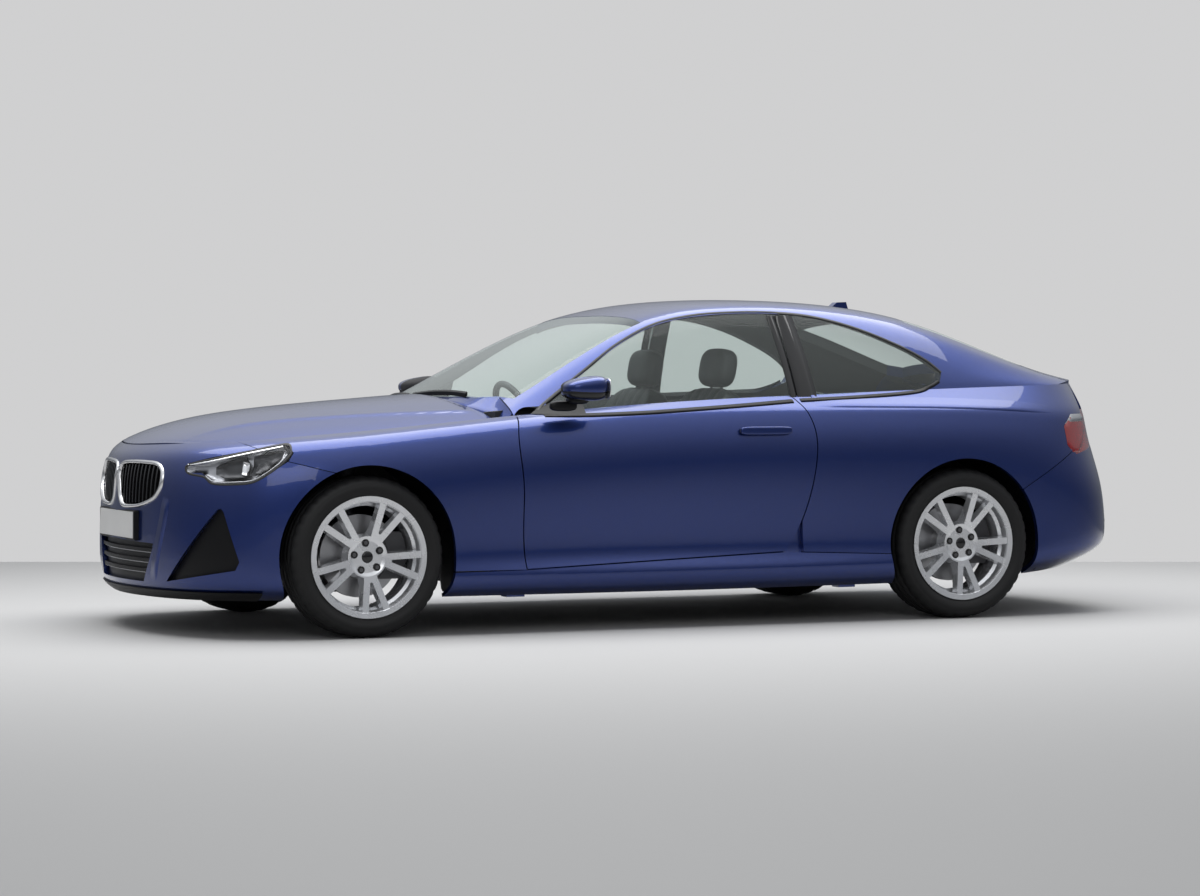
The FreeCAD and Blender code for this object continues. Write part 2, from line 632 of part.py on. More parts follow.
def primitive(kind, label, cells, place, line=None):
    item = doc.addObject("Part::" + kind, label)
    for name, alias in cells:
        setattr(item, name, size(alias))
        item.setExpression(name, "Sizes." + alias)
    turn = FreeCAD.Rotation(Vector(0, 0, 1), line) if line else FreeCAD.Rotation()
    item.Placement = FreeCAD.Placement(Vector(place), turn)
    return item


def fused(label, items):
    joined = doc.addObject("Part::MultiFuse", label)
    joined.Shapes = items
    return joined




# Wheel houses: liner, inner wall and strut tower

outside = side_wall(-200, 200)
liner_r = size("LinerRadius")
liner_w = size("LinerWall")
inner_y = -size("LinerInner")
strut_foot = Vector(FRONT_AXLE, -size("BallJointY"), size("BallJointZ"))
strut_top = Vector(FRONT_AXLE, -size("StrutTopY"), size("StrutTopZ"))
strut_line = (strut_top - strut_foot).normalize()


def wheel_house(x, outer_walls, tower):
    above = box(x - 600, x + 600, -1300, 0, HUB_Z - 60, 1500)
    shell = tube(liner_r, -1000, inner_y, x, HUB_Z).cut(tube(liner_r - liner_w, -1001, inner_y - liner_w,
        x, HUB_Z))
    shell = shell.common(above)
    shell = shell.cut(box(x - 300, x + 300, inner_y - 30, inner_y + 30, 0, HUB_Z + 110))
    if tower:
        start = strut_foot + strut_line * 400
        rise = size("StrutLength") - 400
        bore = Part.makeCylinder(size("TowerRadius") - liner_w, 600, start, strut_line)
        case = Part.makeCylinder(size("TowerRadius"), rise, start, strut_line)
        inside = tube(liner_r - liner_w, -1001, inner_y - liner_w, x, HUB_Z)
        cap = Part.makeCylinder(size("TowerRadius"), 8, start + strut_line * (rise - 8), strut_line)
        shell = shell.fuse(case.cut(inside)).cut(bore).fuse(cap)
        shell = shell.cut(Part.makeCylinder(20.3, 300, start + strut_line * 100, strut_line))
    shell = shell.cut(outer_walls + [outside])
    return largest(shell.removeSplitter())


house_front = wheel_house(FRONT_AXLE, [fender, bumper_half, skirt, bonnet_room], True)
house_rear = wheel_house(REAR_AXLE, [body_left, rear_half, skirt], False)

# Floor, firewall and boot floor

floor_z = size("FloorHeight")
floor_t = size("FloorThick")
tunnel_w = size("TunnelWidth") / 2
tunnel_top = floor_z + size("TunnelHeight")
front_wall = -900
heel = 880
floor = box(front_wall, heel, -840, 840, floor_z, floor_z + floor_t)
tunnel = box(front_wall, heel, -tunnel_w, tunnel_w, floor_z, tunnel_top)
tunnel_bore = box(front_wall - 1, heel + 30, -tunnel_w + 6, tunnel_w - 6, floor_z - 1, tunnel_top - 6)
firewall = box(front_wall - 16, front_wall, -790, 790, floor_z, 890)
cowl = box(-1035, front_wall, -560, 560, 874, 890)
heelboard = box(heel, heel + 16, -465, 465, floor_z, 380)
seat_pan = box(heel, 1180, -465, 465, 364, 380)
bulkhead = box(1164, 1180, -465, 465, 364, 900)
shelf = box(1164, 1700, -465, 465, 884, 900)
engine_room = box(-1100, front_wall + 1, -170, 170, floor_z - 5, 520)
floor_pan = floor.fuse([tunnel, firewall, cowl, heelboard, seat_pan, bulkhead, shelf]).cut(tunnel_bore)
floor_pan = floor_pan.cut(engine_room)
floor_pan = floor_pan.cut([body_left, mirrored(body_left), house_front, mirrored(house_front), house_rear,
                           mirrored(house_rear), fender, mirrored(fender), skirt, mirrored(skirt),
                           bonnet_room])
floor_pan = largest(floor_pan.removeSplitter())
boot_floor = box(1180, 2200, -464, 464, 400, 420).fuse(box(1672, 2200, -880, 880, 400, 420))
boot_back = box(2080, 2096, -700, 700, 400, 740)
boot_floor = boot_floor.fuse(boot_back).cut([body_left, mirrored(body_left), rear_bumper, house_rear,
                                             mirrored(house_rear)])
boot_floor = boot_floor.cut([tail_lamp, mirrored(tail_lamp)])
boot_floor = largest(boot_floor.removeSplitter())

# Front structure: rails from the firewall to the bumper beam

rail = box(-2080, front_wall - 16, -440, -370, 400, 480)
beam = box(-2150, -2080, -560, 560, 400, 480)
rails = one([rail, mirrored(rail), beam])
tower_link = box(-1530, -1430, -470, -440, 400, 480)
panel_top = box(-1990, -1930, -700, -370, 455, 480)
rails = rails.fuse([tower_link, mirrored(tower_link), panel_top, mirrored(panel_top)])
rails = largest(rails.cut([house_front, mirrored(house_front), front_bumper]).removeSplitter())

# Engine, tank, exhaust and drive

engine = primitive("Box", "engine", (("Length", "EngineLength"), ("Width", "EngineWidth"),
                                     ("Height", "EngineHeight")),
                   (size("EngineX"), -size("EngineWidth") / 2, size("EngineZ")))
engine.setExpression("Placement.Base.y", "-Sizes.EngineWidth / 2")
gearbox_x = size("EngineX") + size("EngineLength")
gearbox = primitive("Cone", "gearbox", (("Radius1", "GearboxRadius"), ("Radius2", "GearboxTail"),
                                        ("Height", "GearboxLength")), (gearbox_x, 0, size("DriveZ")), ALONG)
engine_block = fused("engine_block", [engine, gearbox])
tank_case = primitive("Box", "tank_case", (("Length", "TankLength"), ("Width", "TankWidth"),
                                           ("Height", "TankHeight")),
                      (size("TankX"), -size("TankWidth") / 2, size("TankZ")))
tank_tunnel = primitive("Cylinder", "tank_tunnel", (("Height", "TankLength"),),
                        (size("TankX"), 0, size("DriveZ")),
                        ALONG)
tank_tunnel.setExpression("Radius", "Sizes.PropRadius + 28")
fuel_tank = doc.addObject("Part::Cut", "fuel_tank")
fuel_tank.Base = tank_case
fuel_tank.Tool = tank_tunnel
prop_x = gearbox_x + size("GearboxLength")
prop = primitive("Cylinder", "prop_shaft", (("Radius", "PropRadius"),), (prop_x, 0, size("DriveZ")), ALONG)
prop.setExpression("Height", "Sizes.DifferentialX - %s + 1" % prop_x)
diff = primitive("Cylinder", "differential",
                 (("Radius", "DifferentialRadius"), ("Height", "DifferentialLength")),
                 (size("DifferentialX"), 0, 320), ALONG)
shafts = primitive("Cylinder", "half_shafts", (("Radius", "ShaftRadius"),),
                   (REAR_AXLE, -size("ShaftReach"), HUB_Z),
                   ACROSS)
shafts.setExpression("Height", "Sizes.ShaftReach * 2")
drive = fused("driveline", [prop, diff, shafts])


def rod(start, end, radius):
    return Part.makeCylinder(radius, (end - start).Length, start, end - start)


doc.recompute()
driveline = drive.Shape

# Hub carriers with brake calipers, drawn at the left front wheel


def carrier():
    hub = tube(62, 4, 74, 0, 0)
    stub = tube(size("StubRadius"), -34, 8, 0, 0)
    block = Part.makeCylinder(198, 46, Vector(0, 8, 0), Vector(0, 1, 0))
    block = block.cut(Part.makeCylinder(118, 60, Vector(0, 0, 0), Vector(0, 1, 0)))
    block = block.common(Part.makeBox(200, 60, 190, Vector(60, 0, -95)))
    slot = tube(size("DiscRadius") + 6, 13, 49, 0, 0)
    caliper = block.cut(slot)
    bracket = Part.makeBox(120, 12, 70, Vector(30, 54, -35))
    return one([hub, stub, caliper, bracket])


carrier_left = carrier()
front_place = Vector(FRONT_AXLE, -size("WheelCentreFront"), HUB_Z)
rear_place = Vector(REAR_AXLE, -size("WheelCentreRear"), HUB_Z)


lower = rod(strut_foot + strut_line * 12, strut_foot + strut_line * 330, 17)
upper = rod(strut_foot + strut_line * 330, strut_foot + strut_line * (size("StrutLength") - 60), 38)
top_pin = rod(strut_foot + strut_line * (size("StrutLength") - 60),
              strut_foot + strut_line * size("StrutLength"), 20)
tie = box(FRONT_AXLE - 30, FRONT_AXLE + 30, -735, -660, 205, 330)
knuckle_left = one([moved(carrier_left, front_place), lower, upper, top_pin, tie])

cross = box(FRONT_AXLE - 70, FRONT_AXLE + 70, -370, 370, 160, 215)
posts = box(FRONT_AXLE - 40, FRONT_AXLE + 40, -430, -370, 160, 400)
arm = rod(Vector(FRONT_AXLE, -400, 180), Vector(FRONT_AXLE, -size("BallJointY"), 182), 14)
ball = Part.makeSphere(18, strut_foot + Vector(0, 0, -18))
ball = ball.cut(knuckle_left)
front_subframe = one([cross, posts, mirrored(posts), arm, mirrored(arm), ball, mirrored(ball)])
front_subframe = largest(front_subframe.cut(rails))
rack = rod(Vector(FRONT_AXLE + 110, -380, 250), Vector(FRONT_AXLE + 110, 380, 250), 26)
rack_foot = box(FRONT_AXLE + 60, FRONT_AXLE + 120, -300, -240, 180, 250)
front_subframe = one([front_subframe, rack, rack_foot, mirrored(rack_foot)])
rear_cross = box(REAR_AXLE - 60, REAR_AXLE + 60, -400, 400, 170, 214)
rear_post = box(REAR_AXLE - 40, REAR_AXLE + 40, -440, -370, 170, 400)
rear_arm = rod(Vector(REAR_AXLE, -400, 190), Vector(REAR_AXLE, -735, 270), 16)
rear_half_frame = one([rear_post, rear_arm, moved(carrier_left, rear_place)])
rear_subframe = one([rear_cross, rear_half_frame, mirrored(rear_half_frame)])
rear_subframe = rear_subframe.cut([driveline, boot_floor, house_rear, mirrored(house_rear)])
rear_subframe = largest(rear_subframe)

silencer = primitive("Box", "silencer", (("Length", "SilencerLength"), ("Width", "SilencerWidth"),
                                         ("Height", "SilencerHeight")),
                     (size("SilencerX"), -size("SilencerWidth") / 2, size("SilencerZ")))
pipe_x = size("SilencerX") + size("SilencerLength")
pipes = []
for side in (-1, 1):
    name = "tail_pipe_%s" % ("left" if side < 0 else "right")
    place = (pipe_x, side * size("TailPipeY"), size("TailPipeZ"))
    pipe = primitive("Cylinder", name, (("Radius", "TailPipeRadius"),), place, ALONG)
    pipe.setExpression("Height", "Sizes.TailPipeEnd - %s" % pipe_x)
    bore = primitive("Cylinder", name + "_bore", (),
                     (pipe_x + 40, side * size("TailPipeY"), size("TailPipeZ")), ALONG)
    bore.setExpression("Radius", "Sizes.TailPipeRadius - 4")
    bore.Height = 300
    hollow = doc.addObject("Part::Cut", name + "_hollow")
    hollow.Base = pipe
    hollow.Tool = bore
    pipes.append(hollow)
exhaust_whole = fused("exhaust_whole", [silencer] + pipes)
skirt_room = doc.addObject("Part::Feature", "exhaust_room")
skirt_room.Shape = rear_bumper.fuse(diffuser)
exhaust = doc.addObject("Part::Cut", "exhaust")
exhaust.Base = exhaust_whole
exhaust.Tool = skirt_room

# Wheels, drawn about their own centre with the open face to -Y

def cell(alias, factor=1, offset=0):
    return size(alias) * factor + offset, "Sizes.%s * %s + %s" % (alias, factor, offset)


def span(first, second, factor=1, offset=0):
    value = (size(first) + size(second) * factor) + offset
    return value, "Sizes.%s + Sizes.%s * %s + %s" % (first, second, factor, offset)


def polar(radius, angle, lag, inset=0):
    value = size(radius) - inset
    turn = math.radians(size(angle) + lag)
    rule = "(Sizes.%s - %s) * %%s(Sizes.%s + %s)" % (radius, inset, angle, lag)
    return (value * math.cos(turn), rule % "cos"), (value * math.sin(turn), rule % "sin")


def tie(sketch, kind, item, pair_of):
    value, rule = pair_of
    if abs(value) < 1e-9:
        axis = -2 if kind == "DistanceX" else -1
        sketch.addConstraint(Sketcher.Constraint("PointOnObject", item, 1, axis))
        return
    number = sketch.addConstraint(Sketcher.Constraint(kind, -1, 1, item, 1, value))
    sketch.setExpression("Constraints[%d]" % number, rule)


def profile_sketch(body, name, corners):
    sketch = body.newObject("Sketcher::SketchObject", name)
    points = [Vector(across[0], along[0], 0) for across, along in corners]
    for first, second in zip(points, points[1:] + points[:1]):
        sketch.addGeometry(Part.LineSegment(first, second), False)
    for item in range(len(points)):
        sketch.addConstraint(Sketcher.Constraint("Coincident", item, 2, (item + 1) % len(points), 1))
    for item, (across, along) in enumerate(corners):
        tie(sketch, "DistanceX", item, across)
        tie(sketch, "DistanceY", item, along)
    return sketch


def revolved(body, name, corners):
    sketch = profile_sketch(body, name + "_profile", corners)
    turn = body.newObject("PartDesign::Revolution", name)
    turn.Profile = sketch
    turn.ReferenceAxis = (sketch, ["V_Axis"])
    turn.Angle = 360
    sketch.Visibility = False
    return turn


def patterned(body, name, feature_one, sketch):
    pattern = body.newObject("PartDesign::PolarPattern", name)
    pattern.Originals = [feature_one]
    pattern.Axis = (sketch, ["N_Axis"])
    pattern.Angle = 360
    pattern.setExpression("Occurrences", "Sizes.SpokeCount")
    body.Tip = pattern
    return pattern


def face_sketch(body, name, corners, y):
    sketch = profile_sketch(body, name, corners)
    sketch.Placement = FreeCAD.Placement(Vector(0, y, 0), FreeCAD.Rotation(Vector(1, 0, 0), 90))
    return sketch


def pocket(body, name, sketch, depth, taper=0):
    cut_out = body.newObject("PartDesign::Pocket", name)
    cut_out.Profile = sketch
    cut_out.Length = depth
    cut_out.TaperAngle = taper
    return cut_out


def rim_body(label):
    body = doc.addObject("PartDesign::Body", label)
    face = "SpokeFace"
    revolved(body, label + "_disc", [
        (cell("BoreRadius"), cell(face, 1, 21)), (cell("HubRadius", 1, -14), cell(face, 1, 21)),
        (cell("HubRadius"), cell(face, 1, 16)), (cell("RimBarrel", 0.55), cell(face, 1, 11)),
        (cell("RimBarrel", 0.85), cell(face, 1, 4)), (cell("RimBarrel", 1, 2), cell(face)),
        (cell("RimBarrel", 1, 2), cell(face, 1, 34)), (cell("RimBarrel", 0.85), cell(face, 1, 38)),
        (cell("RimBarrel", 0.55), cell(face, 1, 52)), (cell("HubRadius", 1, 4), cell(face, 1, 78)),
        (cell("StubRadius", 1, SEAT), cell(face, 1, 78)), (cell("StubRadius", 1, SEAT), cell(face, 1, 54)),
        (cell("BoreRadius"), cell(face, 1, 54))])
    window = [polar("RimBarrel", "SpokePhase", 36 + lag) for lag in (-20.6, -10, 0, 10, 20.6)]
    window += [polar("HubRadius", "SpokePhase", 36 + lag, -4) for lag in (19, 10, 0, -10, -19)]
    sketch = face_sketch(body, label + "_window", window, size(face) - 1)
    cut_out = pocket(body, label + "_window_cut", sketch, 90, -size("SpokeDraft"))
    patterned(body, label + "_windows", cut_out, sketch)
    slit = [polar("RimBarrel", "SpokePhase", lag) for lag in (-8.4, 0, 8.4)]
    slit += [polar("HubRadius", "SpokePhase", lag, -20) for lag in (3.4, -3.4)]
    sketch = face_sketch(body, label + "_slit", slit, size(face) - 1)
    cut_out = pocket(body, label + "_slit_cut", sketch, 90, -size("SpokeDraft"))
    patterned(body, label + "_slits", cut_out, sketch)
    spot = body.newObject("Sketcher::SketchObject", label + "_bolt")
    spot.Placement = FreeCAD.Placement(Vector(0, size(face), 0), FreeCAD.Rotation(Vector(1, 0, 0), 90))
    across, along = polar("BoltCircle", "SpokePhase", 36)
    spot.addGeometry(Part.Circle(Vector(across[0], along[0], 0), Vector(0, 0, 1), size("BoltSeat")), False)
    for kind, where in (("DistanceX", across), ("DistanceY", along)):
        number = spot.addConstraint(Sketcher.Constraint(kind, -1, 1, 0, 3, where[0]))
        spot.setExpression("Constraints[%d]" % number, where[1])
    number = spot.addConstraint(Sketcher.Constraint("Radius", 0, size("BoltSeat")))
    spot.setExpression("Constraints[%d]" % number, "Sizes.BoltSeat")
    cut_out = pocket(body, label + "_bolt_cut", spot, 32)
    patterned(body, label + "_bolts", cut_out, spot)
    half = "RimWidth"
    barrel = revolved(body, label + "_barrel", [
        (cell("RimRadius"), cell(half, -0.5, 3)), (cell("RimRadius"), cell(half, -0.5, 9)),
        (cell("RimBarrel", 1, 6), cell(half, -0.5, 10)), (cell("RimBarrel", 1, 6), cell(half, -0.5, 47)),
        (cell("RimBarrel", 1, -8), cell(half, -0.5, 57)), (cell("RimBarrel", 1, -8), cell(half, 0.5, -57)),
        (cell("RimBarrel", 1, 6), cell(half, 0.5, -47)), (cell("RimBarrel", 1, 6), cell(half, 0.5, -10)),
        (cell("RimRadius"), cell(half, 0.5, -9)), (cell("RimRadius"), cell(half, 0.5, -3)),
        (cell("RimBarrel", 1, 10), cell(half, 0.5, -4)), (cell("RimBarrel", 1, -2), cell(half, 0.5, -11)),
        (cell("RimBarrel", 1, -2), cell(half, 0.5, -45)), (cell("RimBarrel", 1, -16), cell(half, 0.5, -57)),
        (cell("RimBarrel", 1, -16), cell(half, -0.5, 57)), (cell("RimBarrel", 1, -2), cell(half, -0.5, 45)),
        (cell("RimBarrel", 1, -2), cell(half, -0.5, 14)), (cell("RimBarrel", 1, 3), cell(half, -0.5, 5))])
    body.Tip = barrel
    return body


def tyre_body(label, width):
    body = doc.addObject("PartDesign::Body", label)
    bead = cell("RimBarrel", 1, 6.4)
    corners = [(bead, cell("RimWidth", -0.5, 11)), (cell("RimRadius", 1, 2), cell("RimWidth", -0.5, 11)),
               (cell("RimRadius", 1, 30), cell(width, -0.5)),
               (cell("TyreRadius", 1, -14), cell(width, -0.5, 8)), (cell("TyreRadius"),
                   cell(width, -0.5, 44)),
               (cell("TyreRadius"), cell(width, 0.5, -44)), (cell("TyreRadius", 1, -14),
                   cell(width, 0.5, -8)),
               (cell("RimRadius", 1, 30), cell(width, 0.5)),
               (cell("RimRadius", 1, 2), cell("RimWidth", 0.5, -11)), (bead, cell("RimWidth", 0.5, -11)),
               (bead, cell("RimWidth", 0.5, -22)), (cell("TyreRadius", 1, -14), cell(width, 0.5, -34)),
               (cell("TyreRadius", 1, -14), cell(width, -0.5, 34)), (bead, cell("RimWidth", -0.5, 22))]
    revolved(body, label + "_carcass", corners)
    return body


def disc_body(label):
    body = doc.addObject("PartDesign::Body", label)
    inset = "DiscInset"
    corners = [(cell("StubRadius", 1, 1), cell(inset, 1, -50)),
               (cell("DiscRadius", 1, -80), cell(inset, 1, -50)),
               (cell("DiscRadius", 1, -76), cell(inset, 1, -12)), (cell("DiscRadius"), cell(inset, 1, -12)),
               (cell("DiscRadius"), span(inset, "DiscThick", 1, -12)),
               (cell("DiscRadius", 1, -84), span(inset, "DiscThick", 1, -12)),
               (cell("DiscRadius", 1, -88), cell(inset, 1, -42)), (cell("StubRadius", 1, 1), cell(inset,
               1, -42))]
    revolved(body, label + "_turned", corners)
    return body


def at_wheel(body, x, side, y):
    body.Placement = FreeCAD.Placement(Vector(x, side * size(y), HUB_Z),
                                       FreeCAD.Rotation(Vector(0, 0, 1), 180 if side > 0 else 0))
    body.setExpression("Placement.Base.y", "Sizes.%s * %d" % (y, side))
    body.setExpression("Placement.Base.z", "Sizes.TyreRadius")
    return body


WHEELS = {"fl": (FRONT_AXLE, -1, "TyreWidthFront", "WheelCentreFront"),
          "fr": (FRONT_AXLE, 1, "TyreWidthFront", "WheelCentreFront"),
          "rl": (REAR_AXLE, -1, "TyreWidthRear", "WheelCentreRear"),
          "rr": (REAR_AXLE, 1, "TyreWidthRear", "WheelCentreRear")}
for wheel, (x, side, width, centre_y) in WHEELS.items():
    for body in (rim_body("rim_" + wheel), tyre_body("tyre_" + wheel, width),
                 disc_body("brake_disc_" + wheel)):
        pieces.append(at_wheel(body, x, side, centre_y))

# Cabin

SEAT_SIDE = [(-400, 300), (-400, 425), (-345, 470), (40, 445), (140, 640), (245, 950), (290, 990), (370, 975),
             (300, 640), (235, 330), (180, 290)]
HEADREST = [(285, 1015), (268, 1130), (300, 1168), (350, 1160), (378, 1030), (360, 1010)]
seat_mid = -size("SeatInset")
seat_half = size("SeatWidth") / 2


def block(points, y_low, y_high, edge):
    solid = side_prism(points, y_low, y_high)
    return solid.makeFillet(edge, solid.Edges) if edge else solid


seat = block(SEAT_SIDE, seat_mid - seat_half, seat_mid + seat_half, 0)
rest = block(HEADREST, seat_mid - 130, seat_mid + 130, 0)
post = rod(Vector(320, seat_mid - 50, 960), Vector(325, seat_mid - 50, 1040), 6)
foot = box(-340, 160, seat_mid - 200, seat_mid - 160, floor_z + floor_t, 310)
foot2 = box(-340, 160, seat_mid + 160, seat_mid + 200, floor_z + floor_t, 310)
seat_left = one([seat, rest, post, moved(post, Vector(0, 100, 0)), foot, foot2])
BENCH = [(560, 200), (560, 470), (600, 500), (960, 470), (1080, 800), (1100, 880), (1163.7, 880),
         (1163.7, 380.3),
         (860, 380.3), (860, 200)]
rear_bench = side_prism(BENCH, -455, 455).cut([floor_pan, box(500, 900, -135, 135, 0, 429)])
rear_bench = largest(rear_bench)
DASH = [(-899.7, 600), (-899.7, 885), (-860, 905), (-700, 925), (-590, 905), (-520, 850), (-515, 760),
        (-600, 620)]
dash = side_prism(DASH, -790, 790).cut([body_left, mirrored(body_left), door_left, mirrored(door_left)])
dash = dash.common(box(-1000, 0, -680, 680, 0, 1200)).cut(bonnet_room)
console = side_prism([(-700, tunnel_top + SEAT), (-700, 700), (-560, 700), (-430, 520), (430, 520),
                      (470, 480),
                      (470, tunnel_top + SEAT)], -100, 100)
wheel_centre = Vector(-315, 370, 850)
column_line = Vector(-1, 0, -0.45).normalize()
column = rod(wheel_centre + column_line * 40, wheel_centre + column_line * 300, 34)
dashboard = one([dash, console, column])
rim_ring = primitive("Torus", "steering_rim", (("Radius1", "SteeringWheelRadius"), ("Radius2",
    "SteeringRim")),
                     wheel_centre, column_line)
boss = primitive("Cylinder", "steering_boss", (("Radius", "BossRadius"),), wheel_centre - column_line * 18,
                 column_line)
boss.Height = 57.7
arms = []
across = Vector(0, 1, 0)
for name, line in (("right", across), ("left", across * -1), ("lower", column_line.cross(across))):
    arms.append(primitive("Cylinder", "steering_arm_" + name, (("Radius", "ArmRadius"),
                                                              ("Height", "SteeringWheelRadius")),
                                                              wheel_centre, line))
steering_wheel = fused("steering_wheel", [rim_ring, boss] + arms)

# Door fittings, fin and wipers

mirror_box = box(-662, -478, -1035, -872, 930, 1062)
mirror_case = mirror_box.makeFillet(38, mirror_box.Edges)
stalk = side_prism([(-655, 880), (-540, 880), (-560, 985), (-640, 985)], -900, -800)
mirror_left = one([mirror_case, stalk]).cut([door_left, door_glass, body_left, fender])
mirror_left = largest(mirror_left)
handle = side_wall(-14, 14 - SEAT).common(side_prism([(172, 812), (185, 802), (395, 808), (408, 820),
                                                      (395, 838), (185, 834)]))
fin = side_prism([(990, 1300), (1100, 1390), (1148, 1392), (1178, 1300)], -22,
                 22).cut([roof_panel, rear_window])
fin = max(fin.Solids, key=lambda solid: solid.BoundBox.ZMax)
wiper = top_wall(-14, 14.7).common(top_prism([(-930, 60), (-905, -120), (-870, -420), (-882, -424),
                                              (-918, -122), (-944, 56)]))
wiper = largest(wiper)
wiper_right = top_wall(-14, 14.7).common(top_prism([(-935, 100), (-905, 330), (-866, 560), (-878, 566),
                                                    (-917, 334), (-948, 104)]))
wiper_right = largest(wiper_right)

feature("body_side_left", body_left)
feature("body_side_right", mirrored(body_left))
feature("roof_panel", roof_panel)
feature("front_fenders", pair(fender))
feature("side_skirts", pair(skirt))
feature("front_bumper", front_bumper)
feature("rear_bumper", rear_bumper)
feature("headlamps", pair(lamp_glass))
feature("tail_lamps", pair(tail_lamp))
feature("grille_frames", pair(kidney_frame))
feature("grille_bars", pair(kidney_bars))
feature("intake_grilles", Part.makeCompound([lower_grille, intake_back[1], mirrored(intake_back[1])]))
feature("fixed_windows", Part.makeCompound([windscreen, rear_window, quarter, mirrored(quarter)]))
feature("door_left", door_left)
feature("door_right", mirrored(door_left))
feature("door_glass_left", door_glass)
feature("door_glass_right", mirrored(door_glass))
feature("bonnet", bonnet)
feature("boot_lid", boot_lid)
feature("wheel_houses", Part.makeCompound([house_front, mirrored(house_front), house_rear,
                                           mirrored(house_rear)]))
feature("floor_pan", floor_pan)
feature("boot_floor", boot_floor)
feature("front_rails", rails)
feature("front_subframe", front_subframe)
feature("rear_subframe", rear_subframe)
feature("bumper_trims", Part.makeCompound([front_lip, diffuser]))
feature("knuckle_left", knuckle_left)
feature("knuckle_right", mirrored(knuckle_left))
feature("front_seats", pair(seat_left))
feature("rear_bench", rear_bench)
feature("dashboard", dashboard)
feature("door_fittings_left", Part.makeCompound([mirror_left, handle]))
feature("door_fittings_right", mirrored(Part.makeCompound([mirror_left, handle])))
feature("roof_fin", fin)
feature("wipers", Part.makeCompound([wiper, wiper_right]))
doc.recompute()
os.makedirs("parts", exist_ok=True)
pieces += [engine_block, fuel_tank, drive, exhaust, steering_wheel]
for item in doc.Objects:
    if "Invalid" in item.State or "Error" in item.State:
        raise ValueError("%s can't be built" % item.Label)
for item in pieces:
    shape = item.Shape
    if shape.isNull() or not shape.isValid():
        raise ValueError("%s has no valid shape" % item.Label)
    shape.exportStep("parts/%s.step" % item.Label)
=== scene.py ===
import json
import math

import bmesh
import bpy
import numpy
from mathutils import Matrix, Vector
from mathutils.bvhtree import BVHTree


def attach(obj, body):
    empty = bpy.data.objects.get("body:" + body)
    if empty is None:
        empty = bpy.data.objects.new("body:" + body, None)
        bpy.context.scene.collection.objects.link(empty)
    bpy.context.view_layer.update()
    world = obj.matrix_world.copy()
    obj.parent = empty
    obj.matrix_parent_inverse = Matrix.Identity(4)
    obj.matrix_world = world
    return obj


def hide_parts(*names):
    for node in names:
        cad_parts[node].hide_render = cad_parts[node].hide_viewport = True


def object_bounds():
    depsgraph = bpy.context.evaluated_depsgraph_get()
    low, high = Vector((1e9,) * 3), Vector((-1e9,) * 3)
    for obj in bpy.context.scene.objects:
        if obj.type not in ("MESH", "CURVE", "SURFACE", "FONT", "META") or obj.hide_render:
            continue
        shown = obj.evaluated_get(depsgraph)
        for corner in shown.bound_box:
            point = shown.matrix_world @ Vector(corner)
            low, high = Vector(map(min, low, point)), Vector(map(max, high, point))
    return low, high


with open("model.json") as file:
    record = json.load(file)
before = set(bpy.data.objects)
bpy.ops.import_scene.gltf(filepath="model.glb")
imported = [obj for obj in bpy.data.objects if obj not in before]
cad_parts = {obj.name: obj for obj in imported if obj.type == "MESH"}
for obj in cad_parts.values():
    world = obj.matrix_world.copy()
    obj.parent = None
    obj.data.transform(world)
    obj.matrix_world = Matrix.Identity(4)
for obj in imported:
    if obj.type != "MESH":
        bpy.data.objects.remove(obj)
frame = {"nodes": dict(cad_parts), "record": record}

nodes = frame["nodes"]
cad_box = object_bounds()

# Studio: a pale floor whose far edge is the photograph's floor line, a pale surround and one wide
# soft panel over the car with a weaker one at its side, as in a plain photographer's hall.

view_scene = bpy.context.scene
view_scene.view_settings.view_transform = "Standard"
eye = Vector((-5.893, -13.148, 1.049))
yaw = math.radians(23.876)
pitch = math.radians(1.253)
lens = bpy.data.cameras.new("photograph_view")
lens.lens = 97.33
lens.sensor_width = 36.0
camera = bpy.data.objects.new("photograph_view", lens)
camera.location = eye
camera.rotation_euler = (math.pi / 2 - pitch, 0.0, -yaw)
view_scene.collection.objects.link(camera)
view_scene.camera = camera


def new_material(name):
    material = bpy.data.materials.new(name)
    material.use_nodes = True
    tree = material.node_tree
    return material, tree, tree.nodes["Principled BSDF"]


def add_node(tree, kind, **values):
    """Make a node. A name with a capital is a socket, any other is a setting."""
    node = tree.nodes.new(kind)
    for name, value in values.items():
        if name[0].isupper():
            node.inputs[name.replace("_", " ")].default_value = value
        else:
            setattr(node, name, value)
    return node


def connect(tree, *pairs):
    for start, end in pairs:
        tree.links.new(start, end)


def mesh_piece(name, shape, material, body="root", slot=None, smooth=True):
    bmesh.ops.recalc_face_normals(shape, faces=shape.faces)
    for face in shape.faces:
        face.smooth = smooth
    mesh = bpy.data.meshes.new(name)
    shape.to_mesh(mesh)
    shape.free()
    piece = bpy.data.objects.new(name, mesh)
    view_scene.collection.objects.link(piece)
    mesh.materials.append(material)
    if slot:
        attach(piece, body)
    return piece


